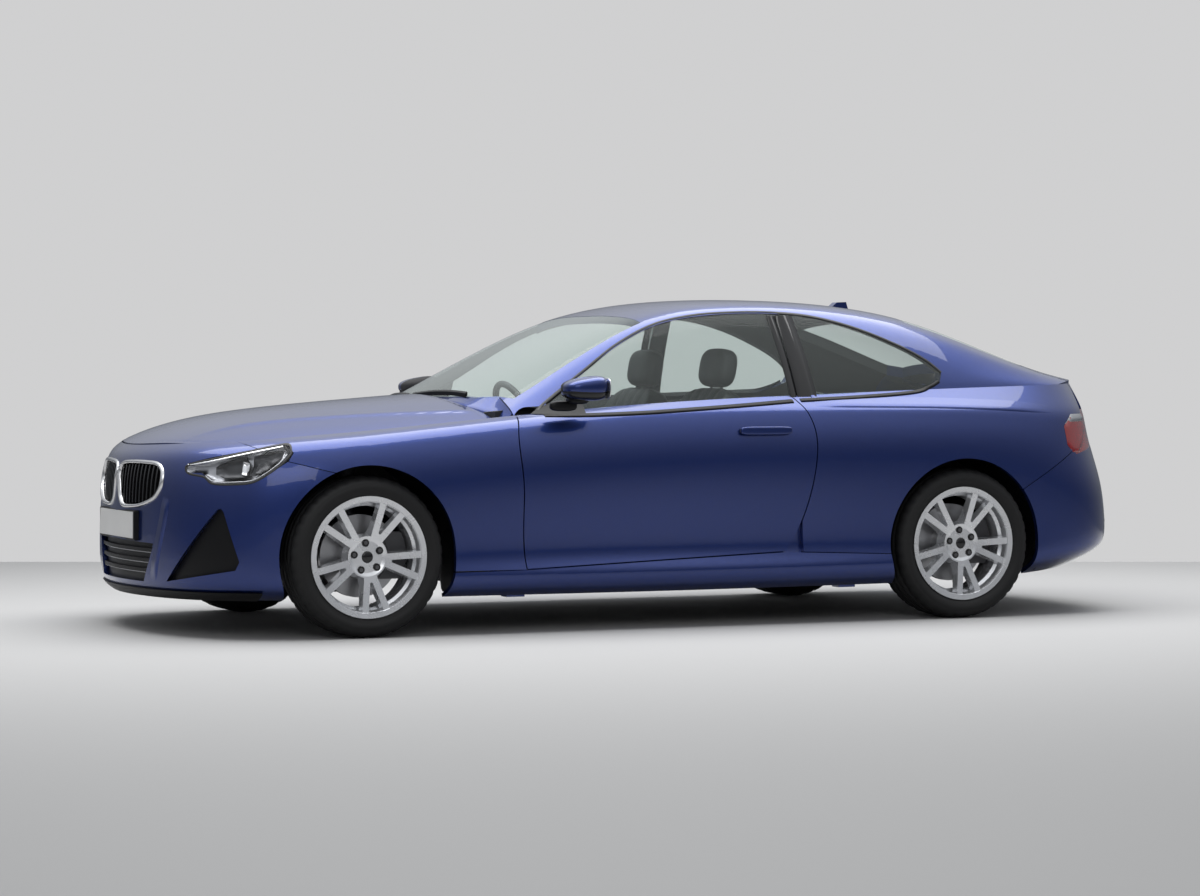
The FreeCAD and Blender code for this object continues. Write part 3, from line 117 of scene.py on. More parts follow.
floor_finish, _, floor_shader = new_material("studio_floor")
floor_shader.inputs["Base Color"].default_value = (0.57, 0.57, 0.57, 1.0)
floor_shader.inputs["Roughness"].default_value = 0.75
floor_shader.inputs["Specular IOR Level"].default_value = 0.25
floor_shape = bmesh.new()
bmesh.ops.create_grid(floor_shape, x_segments=1, y_segments=1, size=1.0)
ahead = Vector((math.sin(yaw), math.cos(yaw), 0.0))
half_width = 24.0
half_depth = 24.2
far_edge = 18.4
bmesh.ops.scale(floor_shape, verts=floor_shape.verts, vec=(half_width, half_depth, 1.0))
bmesh.ops.rotate(floor_shape, verts=floor_shape.verts, matrix=Matrix.Rotation(-yaw, 3, "Z"))
floor_middle = Vector((eye.x, eye.y, 0.0)) + ahead * (far_edge - half_depth)
bmesh.ops.translate(floor_shape, verts=floor_shape.verts, vec=floor_middle)
floor = mesh_piece("studio_floor", floor_shape, floor_finish)

world = bpy.data.worlds.new("studio_surround")
world.use_nodes = True
view_scene.world = world
surround = world.node_tree
for old in list(surround.nodes):
    surround.nodes.remove(old)
seen = add_node(surround, "ShaderNodeBackground", Color=(0.63, 0.63, 0.635, 1.0))
lit = add_node(surround, "ShaderNodeBackground", Color=(0.95, 0.97, 1.0, 1.0), Strength=0.28)
reflected = add_node(surround, "ShaderNodeBackground", Strength=0.9)
path = add_node(surround, "ShaderNodeLightPath")
either = add_node(surround, "ShaderNodeMath", operation="MAXIMUM")
choose = add_node(surround, "ShaderNodeMixShader")
shine = add_node(surround, "ShaderNodeMixShader")
sky_place = add_node(surround, "ShaderNodeTexCoord")
sky_split = add_node(surround, "ShaderNodeSeparateXYZ")
sky_ramp = add_node(surround, "ShaderNodeValToRGB")
surround_out = add_node(surround, "ShaderNodeOutputWorld")
sky_low, sky_high = sky_ramp.color_ramp.elements
sky_low.position = 0.02
sky_low.color = (0.16, 0.17, 0.19, 1.0)
sky_high.position = 0.75
sky_high.color = (1.25, 1.28, 1.32, 1.0)
connect(surround,
        (path.outputs["Is Camera Ray"], either.inputs[0]),
        (path.outputs["Is Transmission Ray"], either.inputs[1]),
        (either.outputs[0], choose.inputs[0]),
        (lit.outputs[0], choose.inputs[1]),
        (seen.outputs[0], choose.inputs[2]),
        (sky_place.outputs["Generated"], sky_split.inputs["Vector"]),
        (sky_split.outputs["Z"], sky_ramp.inputs["Fac"]),
        (sky_ramp.outputs["Color"], reflected.inputs["Color"]),
        (path.outputs["Is Glossy Ray"], shine.inputs[0]),
        (choose.outputs[0], shine.inputs[1]),
        (reflected.outputs[0], shine.inputs[2]),
        (shine.outputs[0], surround_out.inputs["Surface"]))


def soft_panel(name, place, aim, wide, deep, watts):
    lamp = bpy.data.lights.new(name, "AREA")
    lamp.shape = "RECTANGLE"
    lamp.size = wide
    lamp.size_y = deep
    lamp.energy = watts
    holder = bpy.data.objects.new(name, lamp)
    holder.location = place
    holder.rotation_mode = "QUATERNION"
    holder.rotation_quaternion = (Vector(aim) - Vector(place)).to_track_quat("-Z", "Y")
    view_scene.collection.objects.link(holder)


soft_panel("panel_above", (0.0, 0.2, 5.0), (0.0, 0.0, 0.0), 9.0, 4.5, 450)
soft_panel("panel_side", (-4.0, -9.0, 4.0), (0.0, 0.0, 0.6), 5.0, 3.0, 85)

# Surface noise that most finishes share: a fine grain in object space for the bump, and a broad,
# faint cloud that shifts colour and roughness as dust and wear do.

grain_group = bpy.data.node_groups.new("fine_grain", "ShaderNodeTree")
grain_group.interface.new_socket("Scale", in_out="INPUT", socket_type="NodeSocketFloat")
grain_group.interface.new_socket("Grain", in_out="OUTPUT", socket_type="NodeSocketFloat")
grain_group.interface.new_socket("Cloud", in_out="OUTPUT", socket_type="NodeSocketFloat")
grain_in = add_node(grain_group, "NodeGroupInput")
grain_out = add_node(grain_group, "NodeGroupOutput")
grain_place = add_node(grain_group, "ShaderNodeTexCoord")
grain_noise = add_node(grain_group, "ShaderNodeTexNoise", Detail=3.0)
cloud_noise = add_node(grain_group, "ShaderNodeTexNoise", Scale=7.0, Detail=4.0)
connect(grain_group,
        (grain_place.outputs["Object"], grain_noise.inputs["Vector"]),
        (grain_place.outputs["Object"], cloud_noise.inputs["Vector"]),
        (grain_in.outputs["Scale"], grain_noise.inputs["Scale"]),
        (grain_noise.outputs["Fac"], grain_out.inputs["Grain"]),
        (cloud_noise.outputs["Fac"], grain_out.inputs["Cloud"]))


def finish(name, colour, roughness, metallic=0.0, grain=700.0, depth=0.1, worn=0.12, coat=0.0, specular=0.5):
    material, tree, shader = new_material(name)
    noise = add_node(tree, "ShaderNodeGroup", node_tree=grain_group, Scale=grain)
    rough = add_node(tree, "ShaderNodeMapRange", To_Min=max(roughness - worn * 0.5, 0.02),
                     To_Max=roughness + worn * 0.5)
    darker = (*[channel * 0.92 for channel in colour], 1.0)
    paler = (*[channel * 1.08 for channel in colour], 1.0)
    shade = add_node(tree, "ShaderNodeMix", data_type="RGBA", A=darker, B=paler)
    bump = add_node(tree, "ShaderNodeBump", Strength=depth, Distance=0.0002)
    connect(tree,
            (noise.outputs["Cloud"], rough.inputs["Value"]),
            (rough.outputs["Result"], shader.inputs["Roughness"]),
            (noise.outputs["Cloud"], shade.inputs["Factor"]),
            (shade.outputs["Result"], shader.inputs["Base Color"]),
            (noise.outputs["Grain"], bump.inputs["Height"]),
            (bump.outputs["Normal"], shader.inputs["Normal"]))
    shader.inputs["Metallic"].default_value = metallic
    shader.inputs["Coat Weight"].default_value = coat
    shader.inputs["Specular IOR Level"].default_value = specular
    return material


# Body panels: pressed sheets with a metallic blue base coat full of fine flakes under a glossy clear
# coat. Each flake tilts its own way, so the base glitters a little and spreads its highlights.

paint, paint_tree, paint_shader = new_material("blue_paint")
paint_shader.inputs["Metallic"].default_value = 0.80
paint_shader.inputs["Roughness"].default_value = 0.33
paint_shader.inputs["Coat Weight"].default_value = 1.0
paint_shader.inputs["Coat Roughness"].default_value = 0.02
paint_shader.inputs["Coat IOR"].default_value = 1.42
flake_place = add_node(paint_tree, "ShaderNodeTexCoord")
flakes = add_node(paint_tree, "ShaderNodeTexVoronoi", Scale=2400.0)
flake_shade = add_node(paint_tree, "ShaderNodeMix", data_type="RGBA", A=(0.006, 0.018, 0.108, 1.0),
                       B=(0.016, 0.040, 0.200, 1.0))
flake_split = add_node(paint_tree, "ShaderNodeSeparateColor")
flake_bump = add_node(paint_tree, "ShaderNodeBump", Strength=0.06, Distance=0.0001)
connect(paint_tree,
        (flake_place.outputs["Object"], flakes.inputs["Vector"]),
        (flakes.outputs["Color"], flake_split.inputs["Color"]),
        (flake_split.outputs["Red"], flake_shade.inputs["Factor"]),
        (flake_shade.outputs["Result"], paint_shader.inputs["Base Color"]),
        (flake_split.outputs["Green"], flake_bump.inputs["Height"]),
        (flake_bump.outputs["Normal"], paint_shader.inputs["Normal"]))

# The shell's inner faces carry dark lining instead of paint: those that look to the middle of the car
# or down from the roof, between the screen and the boot.

lining = add_node(paint_tree, "ShaderNodeBsdfPrincipled", Base_Color=(0.022, 0.022, 0.024, 1.0),
                  Roughness=0.85)
spot = add_node(paint_tree, "ShaderNodeSeparateXYZ")
looks = add_node(paint_tree, "ShaderNodeSeparateXYZ")
connect(paint_tree,
        (flake_place.outputs["Object"], spot.inputs[0]),
        (flake_place.outputs["Normal"], looks.inputs[0]))


def lining_test(kind, first, second):
    step = add_node(paint_tree, "ShaderNodeMath", operation=kind)
    for index, value in enumerate((first, second)):
        if isinstance(value, float):
            step.inputs[index].default_value = value
        else:
            paint_tree.links.new(value, step.inputs[index])
    return step.outputs[0]


inward = lining_test("MULTIPLY", spot.outputs["Y"], looks.outputs["Y"])
to_middle = lining_test("LESS_THAN", inward, -0.02)
downward = lining_test("LESS_THAN", looks.outputs["Z"], -0.5)
at_roof = lining_test("GREATER_THAN", spot.outputs["Z"], 0.95)
under_roof = lining_test("MULTIPLY", downward, at_roof)
behind_screen = lining_test("GREATER_THAN", spot.outputs["X"], -1.0)
ahead_of_boot = lining_test("LESS_THAN", spot.outputs["X"], 1.7)
between = lining_test("MULTIPLY", behind_screen, ahead_of_boot)
lined = lining_test("MULTIPLY", lining_test("MAXIMUM", to_middle, under_roof), between)
lining_mix = add_node(paint_tree, "ShaderNodeMixShader")
connect(paint_tree,
        (lined, lining_mix.inputs[0]),
        (paint_shader.outputs[0], lining_mix.inputs[1]),
        (lining.outputs[0], lining_mix.inputs[2]),
        (lining_mix.outputs[0], paint_tree.nodes["Material Output"].inputs["Surface"]))

# Glazing: faintly green laminated glass that lets light through and mirrors the hall at a glance.
# Only its front faces mirror, because a pane's back face would mirror everything at a low angle.

glass, glass_tree, glass_shader = new_material("window_glass")
glass_shader.inputs["Base Color"].default_value = (0.50, 0.55, 0.54, 1.0)
glass_shader.inputs["Roughness"].default_value = 0.01
glass_shader.inputs["IOR"].default_value = 1.5
clear = add_node(glass_tree, "ShaderNodeBsdfTransparent", Color=(0.93, 0.965, 0.955, 1.0))
glance = add_node(glass_tree, "ShaderNodeFresnel", IOR=1.5)
spread = add_node(glass_tree, "ShaderNodeMapRange", To_Min=0.0, To_Max=0.9)
facing = add_node(glass_tree, "ShaderNodeNewGeometry")
front_only = add_node(glass_tree, "ShaderNodeMath", operation="SUBTRACT")
front_only.inputs[0].default_value = 1.0
veil = add_node(glass_tree, "ShaderNodeMath")
veil.inputs[1].default_value = 0.10
front_veil = add_node(glass_tree, "ShaderNodeMath", operation="MULTIPLY")
glass_mix = add_node(glass_tree, "ShaderNodeMixShader")
connect(glass_tree,
        (facing.outputs["Backfacing"], front_only.inputs[1]),
        (front_only.outputs[0], front_veil.inputs[0]),
        (glance.outputs["Fac"], veil.inputs[0]),
        (veil.outputs[0], front_veil.inputs[1]),
        (front_veil.outputs[0], spread.inputs["Value"]),
        (spread.outputs["Result"], glass_mix.inputs[0]),
        (clear.outputs[0], glass_mix.inputs[1]),
        (glass_shader.outputs[0], glass_mix.inputs[2]),
        (glass_mix.outputs[0], glass_tree.nodes["Material Output"].inputs["Surface"]))

# Lamp covers: clear moulded plastic, colourless and thinner-looking than the window glass, sealed to
# each lamp's housing and flush with the panels round it.

cover = glass.copy()
cover.name = "lamp_cover"
for node in cover.node_tree.nodes:
    if node.bl_idname == "ShaderNodeBsdfPrincipled":
        node.inputs["Base Color"].default_value = (0.05, 0.05, 0.05, 1.0)
    if node.bl_idname == "ShaderNodeBsdfTransparent":
        node.inputs["Color"].default_value = (0.97, 0.97, 0.98, 1.0)

# Plastic and bright trim: grained black mouldings for the intakes, wheel houses and wipers, gloss
# black bars in the nose and satin chrome round them, all clipped or pressed in place.

black = finish("black_moulding", (0.005, 0.005, 0.006), 0.42, specular=0.2)
gloss = finish("gloss_black", (0.007, 0.007, 0.008), 0.10, worn=0.03, depth=0.0)
chrome = finish("satin_chrome", (0.66, 0.66, 0.67), 0.20, metallic=1.0, depth=0.02, worn=0.06)

# Wheels and brakes: cast alloy rims in silver lacquer, black rubber tyres with a fine grain, and grey
# iron discs that the pads have rubbed to an even sheen.

silver = finish("wheel_silver", (0.74, 0.75, 0.77), 0.27, metallic=0.75, grain=1500.0, depth=0.05, coat=0.6)
rubber = finish("tyre_rubber", (0.010, 0.010, 0.0105), 0.68, grain=900.0, depth=0.35, specular=0.3)
iron = finish("disc_iron", (0.36, 0.36, 0.37), 0.34, metallic=0.9, worn=0.16)

# Running gear and engine: steel frames, knuckles, axle parts and exhaust under a dark coating, and a
# cast alloy block with a rough skin from its mould.

steel = finish("coated_steel", (0.085, 0.085, 0.09), 0.5, metallic=0.4)
alloy = finish("cast_alloy", (0.28, 0.28, 0.29), 0.45, metallic=0.8, depth=0.4)

# Cabin: black leather with a fine grain over the seats, and a grained soft plastic moulding for the
# dashboard and the steering wheel.

leather = finish("seat_leather", (0.020, 0.020, 0.022), 0.46, grain=420.0, depth=0.6)
cabin = finish("cabin_plastic", (0.026, 0.026, 0.028), 0.55, grain=500.0, depth=0.5)

# Tail lamps: red moulded plastic under a clear and very smooth face, let into the rear corners. With
# them every CAD part takes the finish that its material slot in the record names.

red_lens = finish("red_lens", (0.30, 0.006, 0.010), 0.06, worn=0.02, depth=0.0, coat=1.0)
slots = {"paint": paint, "window_glass": glass, "lamp_lens": cover, "black_plastic": black,
         "gloss_black": gloss, "satin_trim": chrome, "tail_lens": red_lens, "tyre_rubber": rubber,
         "rim_silver": silver, "brake_iron": iron, "chassis_steel": steel, "under_panel": black,
         "engine_alloy": alloy, "seat_leather": leather, "cabin_plastic": cabin}
for part in frame["record"]["subparts"]:
    piece = nodes[part["node"]]
    piece.data.materials.clear()
    piece.data.materials.append(slots[part["material_slot"]])

# Seals round the side glass: a satin black belt trim under the windows and black rubber along their
# roof side. Strips are thrown onto the CAD surface along a line of sight, so they follow its curves.

ray_start = 0.4
beside = 1.2
rubber_seal = finish("rubber_seal", (0.012, 0.012, 0.012), 0.55)


def surface_of(*names):
    points = []
    faces = []
    for name in names:
        mesh = nodes[name].data
        first = len(points)
        points += [vertex.co.copy() for vertex in mesh.vertices]
        faces += [[first + index for index in polygon.vertices] for polygon in mesh.polygons]
    return BVHTree.FromPolygons(points, faces)


def land(surface, point, line, lift):
    """Five rays find the skin. One that falls through a panel gap hits far off and is left out."""
    side = Vector((0, 0, 1)) if abs(line.z) < 0.7 else Vector((1, 0, 0))
    other = line.cross(side).normalized()
    side = other.cross(line)
    depths = []
    for up, along in ((0, 0), (0.006, 0), (-0.006, 0), (0, 0.006), (0, -0.006)):
        hit, _, _, depth = surface.ray_cast(point + side * up + other * along, line)
        if hit is not None:
            depths.append(depth)
    if not depths:
        return surface.find_nearest(point + line * 0.5)[0]
    near = [depth for depth in depths if depth < min(depths) + 0.03]
    if depths[0] in near:
        return point + line * (depths[0] - lift)
    return point + line * (sum(near) / len(near) - lift)


def smooth_path(points, steps):
    line = []
    count = len(points)
    for index in range(count - 1):
        before = Vector(points[max(index - 1, 0)])
        start = Vector(points[index])
        end = Vector(points[index + 1])
        after = Vector(points[min(index + 2, count - 1)])
        slope = end - before
        bend = 2 * before - 5 * start + 4 * end - after
        twist = 3 * start - before - 3 * end + after
        for step in range(steps):
            t = step / steps
            line.append(0.5 * ((2 * start) + slope * t + bend * t * t + twist * t ** 3))
    line.append(Vector(points[-1]))
    return line


def heading(route, index):
    return (route[min(index + 1, len(route) - 1)] - route[max(index - 1, 0)]).normalized()


def skin(shape, rows, closed=False):
    for low, high in zip(rows, rows[1:] + rows[:1] if closed else rows[1:]):
        for index in range(len(low) - 1):
            shape.faces.new((low[index], low[index + 1], high[index + 1], high[index]))


def strip(name, surface, points, width, height, material, slot, body="root", line=(0, 1, 0)):
    line = Vector(line).normalized()
    route = smooth_path(points, 10)
    shape = bmesh.new()
    rows = []
    for index, point in enumerate(route):
        across = heading(route, index).cross(line).normalized()
        row = []
        for share, rise in ((-0.5, -0.3), (-0.42, 0.75), (0.0, 1.0), (0.42, 0.75), (0.5, -0.3)):
            start = point + across * width * share - line * ray_start
            row.append(shape.verts.new(land(surface, start, line, height * rise)))
        rows.append(row)
    skin(shape, rows)
    return mesh_piece(name, shape, material, body, slot)


def both_sides(maker, name, points, surfaces, body="root", line=(0, 1, 0), **options):
    """Points and line are the left side's. SIDE in a name becomes left or right."""
    for flip, label in ((1, "left"), (-1, "right")):
        surface = surface_of(*[item.replace("SIDE", label) for item in surfaces])
        mirrored = [(x, y * flip, z) for x, y, z in points]
        maker(name + "_" + label, surface, mirrored, body=body.replace("SIDE", label),
              line=(line[0], line[1] * flip, line[2]), **options)


belt_front = [(0.463, 0.947), (0.2, 0.928), (-0.05, 0.912), (-0.252, 0.900), (-0.50, 0.892), (-0.685, 0.892)]
belt_rear = [(0.50, 0.950), (0.80, 0.964), (1.062, 0.983), (1.160, 1.006), (1.212, 1.030)]
roof_line = [(-0.700, 0.912), (-0.462, 1.070), (-0.280, 1.187), (-0.095, 1.271), (0.090, 1.311),
             (0.278, 1.326), (0.468, 1.328), (0.660, 1.312), (0.855, 1.265), (1.051, 1.189),
             (1.170, 1.126), (1.236, 1.070)]
both_sides(strip, "belt_seal_front", [(x, -beside, z) for x, z in belt_front],
           ["door_SIDE", "door_glass_SIDE"], body="door_SIDE",
           width=0.017, height=0.004, material=black, slot="black_plastic")
both_sides(strip, "belt_seal_rear", [(x, -beside, z) for x, z in belt_rear],
           ["body_side_SIDE", "fixed_windows"],
           width=0.016, height=0.004, material=black, slot="black_plastic")
both_sides(strip, "roof_seal", [(x, -beside, z) for x, z in roof_line],
           ["body_side_SIDE", "fixed_windows", "door_glass_SIDE"],
           width=0.013, height=0.003, material=rubber_seal, slot="black_plastic")

# Pillar covers: gloss panels over the middle pillar, one on the door and one on the body side. A
# panel gap lies under them, so they follow a smooth surface through many hits and not each hit.


def fitted(surface, points, line, reach=0.025):
    line = Vector(line).normalized()
    side = Vector((0, 0, 1))
    other = line.cross(side).normalized()

    def terms(point):
        a = point.dot(other)
        b = point.dot(side)
        return 1.0, a, b, a * a, a * b, b * b

    rows = []
    depths = []
    for point in points:
        for up, along in ((0, 0), (reach, 0), (-reach, 0), (0, reach), (0, -reach)):
            start = Vector(point) + side * up + other * along - line * ray_start
            hit = surface.ray_cast(start, line)[0]
            if hit is not None:
                rows.append(terms(hit))
                depths.append(hit.dot(line))
    rows = numpy.array(rows)
    depths = numpy.array(depths)
    for _ in range(3):
        shares = numpy.linalg.lstsq(rows, depths, rcond=None)[0]
        near = depths - rows @ shares < 0.012
        rows = rows[near]
        depths = depths[near]

    def place(point, rise):
        known = terms(Vector(point))
        depth = float(numpy.array(known) @ shares)
        return other * known[1] + side * known[2] + line * (depth - rise)

    return place


sides = ((-1, "left"), (1, "right"))
pillar_spots = ((0.30, 1.0), (0.40, 1.2), (0.62, 1.0), (0.62, 1.2), (0.70, 1.1), (0.35, 1.1))
pillar_foot = 0.952
pillar_top = 1.315
cover_section = ((0, -0.004), (0, 0.003), (0.5, 0.0035), (1, 0.003), (1, -0.004))
for side, label in sides:
    surface = surface_of("body_side_" + label, "fixed_windows", "door_glass_" + label)
    place = fitted(surface, [(x, side * beside, z) for x, z in pillar_spots], (0, -side, 0), 0.02)
    for name, low, high, body in (("front", (0.463, 0.492), (0.438, 0.474), "door_" + label),
                                  ("rear", (0.497, 0.590), (0.479, 0.560), "root")):
        shape = bmesh.new()
        rows = []
        for step in range(13):
            share = step / 12
            z = pillar_foot + share * (pillar_top - pillar_foot)
            start, end = [low[index] + (high[index] - low[index]) * share for index in (0, 1)]
            rows.append([shape.verts.new(place((start + (end - start) * cross, 0, z), rise))
                         for cross, rise in cover_section])
        skin(shape, rows)
        mesh_piece("pillar_cover_" + name + "_" + label, shape, gloss, body, "gloss_black")

# Nose frames: two rounded kidney-shaped rings of satin chrome round the upright bars. They stay
# inside the CAD model's box at the front.

kidney = [(-0.016, 0.640), (-0.020, 0.680), (-0.060, 0.700), (-0.180, 0.706), (-0.300, 0.706),
          (-0.385, 0.700), (-0.436, 0.672), (-0.447, 0.620), (-0.428, 0.580), (-0.385, 0.550),
          (-0.290, 0.525), (-0.190, 0.517), (-0.090, 0.518), (-0.045, 0.545), (-0.026, 0.590)]
bead = [(0.004, -0.012), (0.004, 0.003), (0.001, 0.007), (-0.005, 0.008), (-0.010, 0.005), (-0.011, -0.030)]
foremost = cad_box[0][0] + 0.0003
before_car = 3.0
front_face = surface_of("grille_frames", "front_bumper")
for flip, label in ((1, "left"), (-1, "right")):
    outline = [(-before_car, y * flip, z) for y, z in kidney]
    route = smooth_path([*outline, *outline[:3]], 8)[8:-9]
    place = fitted(front_face, outline, (1, 0, 0))
    middle = sum(route, Vector()) / len(route)
    shape = bmesh.new()
    rows = []
    for index, point in enumerate(route):
        along = (route[(index + 1) % len(route)] - route[index - 1]).normalized()
        across = along.cross(Vector((1, 0, 0))).normalized()
        if across.dot(point - middle) < 0:
            across = -across
        row = [shape.verts.new(place(point + across * out, rise)) for out, rise in bead]
        for vertex in row:
            vertex.co.x = max(vertex.co.x, foremost)
        rows.append([*row, row[0]])
    skin(shape, rows, closed=True)
    frame_ring = mesh_piece("nose_frame_" + label, shape, chrome, "root", "satin_trim")
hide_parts("grille_frames")

# Headlamps: a black gasket round each clear cover, a dark grey bowl behind it with a bright upright
# projector at its rear edge, a second bowl behind that, and light trims above and below.


def plate_on(name, surface, outline, height, material, slot, body="root", line=(0, 1, 0), cell=0.03):
    line = Vector(line).normalized()
    shape = bmesh.new()
    shape.faces.new([shape.verts.new(Vector(point) - line * ray_start) for point in outline])
    side = Vector((1, 0, 0)) if abs(line.x) < 0.7 else Vector((0, 1, 0))
    for axis in (side, line.cross(side).normalized()):
        spans = [vertex.co.dot(axis) for vertex in shape.verts]
        cut = min(spans) + cell
        while cut < max(spans):
            bmesh.ops.bisect_plane(shape, geom=shape.verts[:] + shape.edges[:] + shape.faces[:],
                                   plane_co=axis * cut, plane_no=axis)
            cut += cell
    bmesh.ops.triangulate(shape, faces=[face for face in shape.faces if len(face.verts) > 4])
    edge = {vertex for item in shape.edges if item.is_boundary for vertex in item.verts}
    for vertex in shape.verts:
        rise = height * 0.2 if vertex in edge else height
        vertex.co = land(surface, vertex.co.copy(), line, rise)
    return mesh_piece(name, shape, material, body, slot)


lamp_line = (0.55, 0.83, 0.0)
lamp_edge = [(-2.143, -0.565, 0.690), (-2.119, -0.598, 0.704), (-2.054, -0.677, 0.723),
             (-1.928, -0.757, 0.755), (-1.800, -0.794, 0.781), (-1.786, -0.828, 0.756),
             (-1.800, -0.839, 0.730), (-1.845, -0.840, 0.690), (-1.932, -0.814, 0.634),
             (-2.001, -0.770, 0.622), (-2.072, -0.702, 0.624), (-2.097, -0.662, 0.650),
             (-2.133, -0.601, 0.660), (-2.143, -0.574, 0.672)]
lamp_top = [(-2.138, -0.575, 0.697), (-2.112, -0.610, 0.702), (-2.054, -0.677, 0.716),
            (-1.928, -0.757, 0.748), (-1.810, -0.797, 0.773)]
lamp_low = [(-2.092, -0.668, 0.654), (-2.068, -0.706, 0.632), (-2.000, -0.769, 0.631),
            (-1.930, -0.812, 0.643), (-1.846, -0.837, 0.700), (-1.803, -0.832, 0.742)]
bowl = [(-2.056, -0.694, 0.690), (-2.019, -0.720, 0.711), (-1.973, -0.748, 0.729), (-1.948, -0.766, 0.730),
        (-1.942, -0.788, 0.698), (-1.966, -0.790, 0.649), (-2.032, -0.739, 0.643), (-2.060, -0.705, 0.658)]
outer_bowl = [(-1.927, -0.778, 0.732), (-1.846, -0.802, 0.756), (-1.807, -0.816, 0.756),
              (-1.826, -0.834, 0.725), (-1.876, -0.829, 0.686), (-1.931, -0.810, 0.654),
              (-1.950, -0.798, 0.656), (-1.932, -0.795, 0.693)]
projector = [(-1.965, -0.766, 0.712), (-1.944, -0.786, 0.704), (-1.954, -0.795, 0.657),
             (-1.975, -0.779, 0.662)]
bright = finish("bright_reflector", (0.86, 0.87, 0.88), 0.12, metallic=0.9, depth=0.0, worn=0.04)
bowl_grey = finish("bowl_grey", (0.060, 0.062, 0.066), 0.30, metallic=0.6, grain=900.0, depth=0.2)
pale_trim = finish("lamp_trim", (0.42, 0.43, 0.45), 0.28, metallic=0.8, worn=0.05)
for name, outline, height, material, slot, cell in (
        ("lamp_backing", lamp_edge, -0.034, pale_trim, "satin_trim", 0.02),
        ("lamp_bowl", bowl, -0.020, bowl_grey, "gloss_black", 0.02),
        ("lamp_outer_bowl", outer_bowl, -0.022, bowl_grey, "gloss_black", 0.02),
        ("lamp_projector", projector, -0.008, bright, "satin_trim", 0.01)):
    both_sides(plate_on, name, outline, ["headlamps"], line=lamp_line, height=height, material=material,
               slot=slot, cell=cell)
for name, points, width, height, material, slot, onto in (
        ("lamp_brow", lamp_top, 0.006, 0.0015, bright, "satin_trim", ["headlamps"]),
        ("lamp_chin", lamp_low, 0.004, 0.0012, pale_trim, "satin_trim", ["headlamps"]),
        ("lamp_gasket", [*lamp_edge, lamp_edge[0]], 0.009, 0.0015, rubber_seal, "black_plastic",
         ["headlamps", "front_bumper", "front_fenders"])):
    both_sides(strip, name, points, onto, line=lamp_line, width=width, height=height, material=material,
               slot=slot)

# Bonnet: the pressing's two long ridges, which rise gently from the nose frames to the foot of the
# screen, with a soft inner flank and a sharper outer one.


def eased(share):
    return share * share * (3 - 2 * share)


down = Vector((0, 0, -1))
above_bonnet = 1.3
ridge_start = -2.16
ridge_end = -0.86
ridge_height = 0.0075
bonnet_top = surface_of("bonnet")
shape = bmesh.new()
grid = {}
for column in range(141):
    for row in range(121):
        x = -2.20 + column * 0.0096
        y = -0.78 + row * 0.013
        hit, normal, _, _ = bonnet_top.ray_cast(Vector((x, y, above_bonnet)), down)
        if hit is None or normal.z < 0.45:
            continue
        run_in = min(max((x - ridge_start) / 0.35, 0.0), 1.0)
        run_out = min(max((ridge_end - x) / 0.12, 0.0), 1.0)
        away = abs(y) - (0.40 + 0.17 * (x - ridge_start) / 1.2)
        flank = 0.022 if away > 0 else 0.060
        grid[column, row] = (hit, ridge_height * eased(run_in * run_out) * math.exp(-abs(away) / flank))
corners = ((0, 0), (1, 0), (1, 1), (0, 1))
spots = {}
for (column, row), (hit, rise) in grid.items():
    inside = all((column + a, row + b) in grid for a in (-1, 0, 1) for b in (-1, 0, 1))
    spots[column, row] = shape.verts.new(hit + Vector((0, 0, rise + 0.0008 if inside else -0.001)))
for column, row in grid:
    if all((column + a, row + b) in grid for a, b in corners):
        shape.faces.new([spots[column + a, row + b] for a, b in corners])
mesh_piece("bonnet_pressing", shape, paint, "bonnet", "paint")

# Door mirrors and pull handles: a body-coloured shell over a black foot and stalk, with the mirror
# pane at its back, and a rounded pull bar in front of the door skin.


def rounded(shape, centre, half, power=4.0, tilt=0.0, cuts=14, mould=None):
    """Add a rounded block. A higher power makes its corners squarer."""
    made = bmesh.new()
    bmesh.ops.create_cube(made, size=2.0)
    bmesh.ops.subdivide_edges(made, edges=made.edges[:], cuts=cuts, use_grid_fill=True)
    turn = Matrix.Rotation(tilt, 3, "Y")
    spots = {}
    for vertex in made.verts:
        u, v, w = vertex.co
        size = (abs(u) ** power + abs(v) ** power + abs(w) ** power) ** (1 / power)
        place = Vector((u / size, v / size, w / size))
        if mould:
            place = mould(place)
        place = turn @ Vector((place.x * half[0], place.y * half[1], place.z * half[2])) + Vector(centre)
        spots[vertex] = shape.verts.new(place)
    for face in made.faces:
        shape.faces.new([spots[vertex] for vertex in face.verts])
    made.free()


def shell_mould(place):
    taper = 0.80 + 0.20 * place.x
    return Vector((place.x, place.y, place.z * taper + 0.10 * (place.x + 1)))


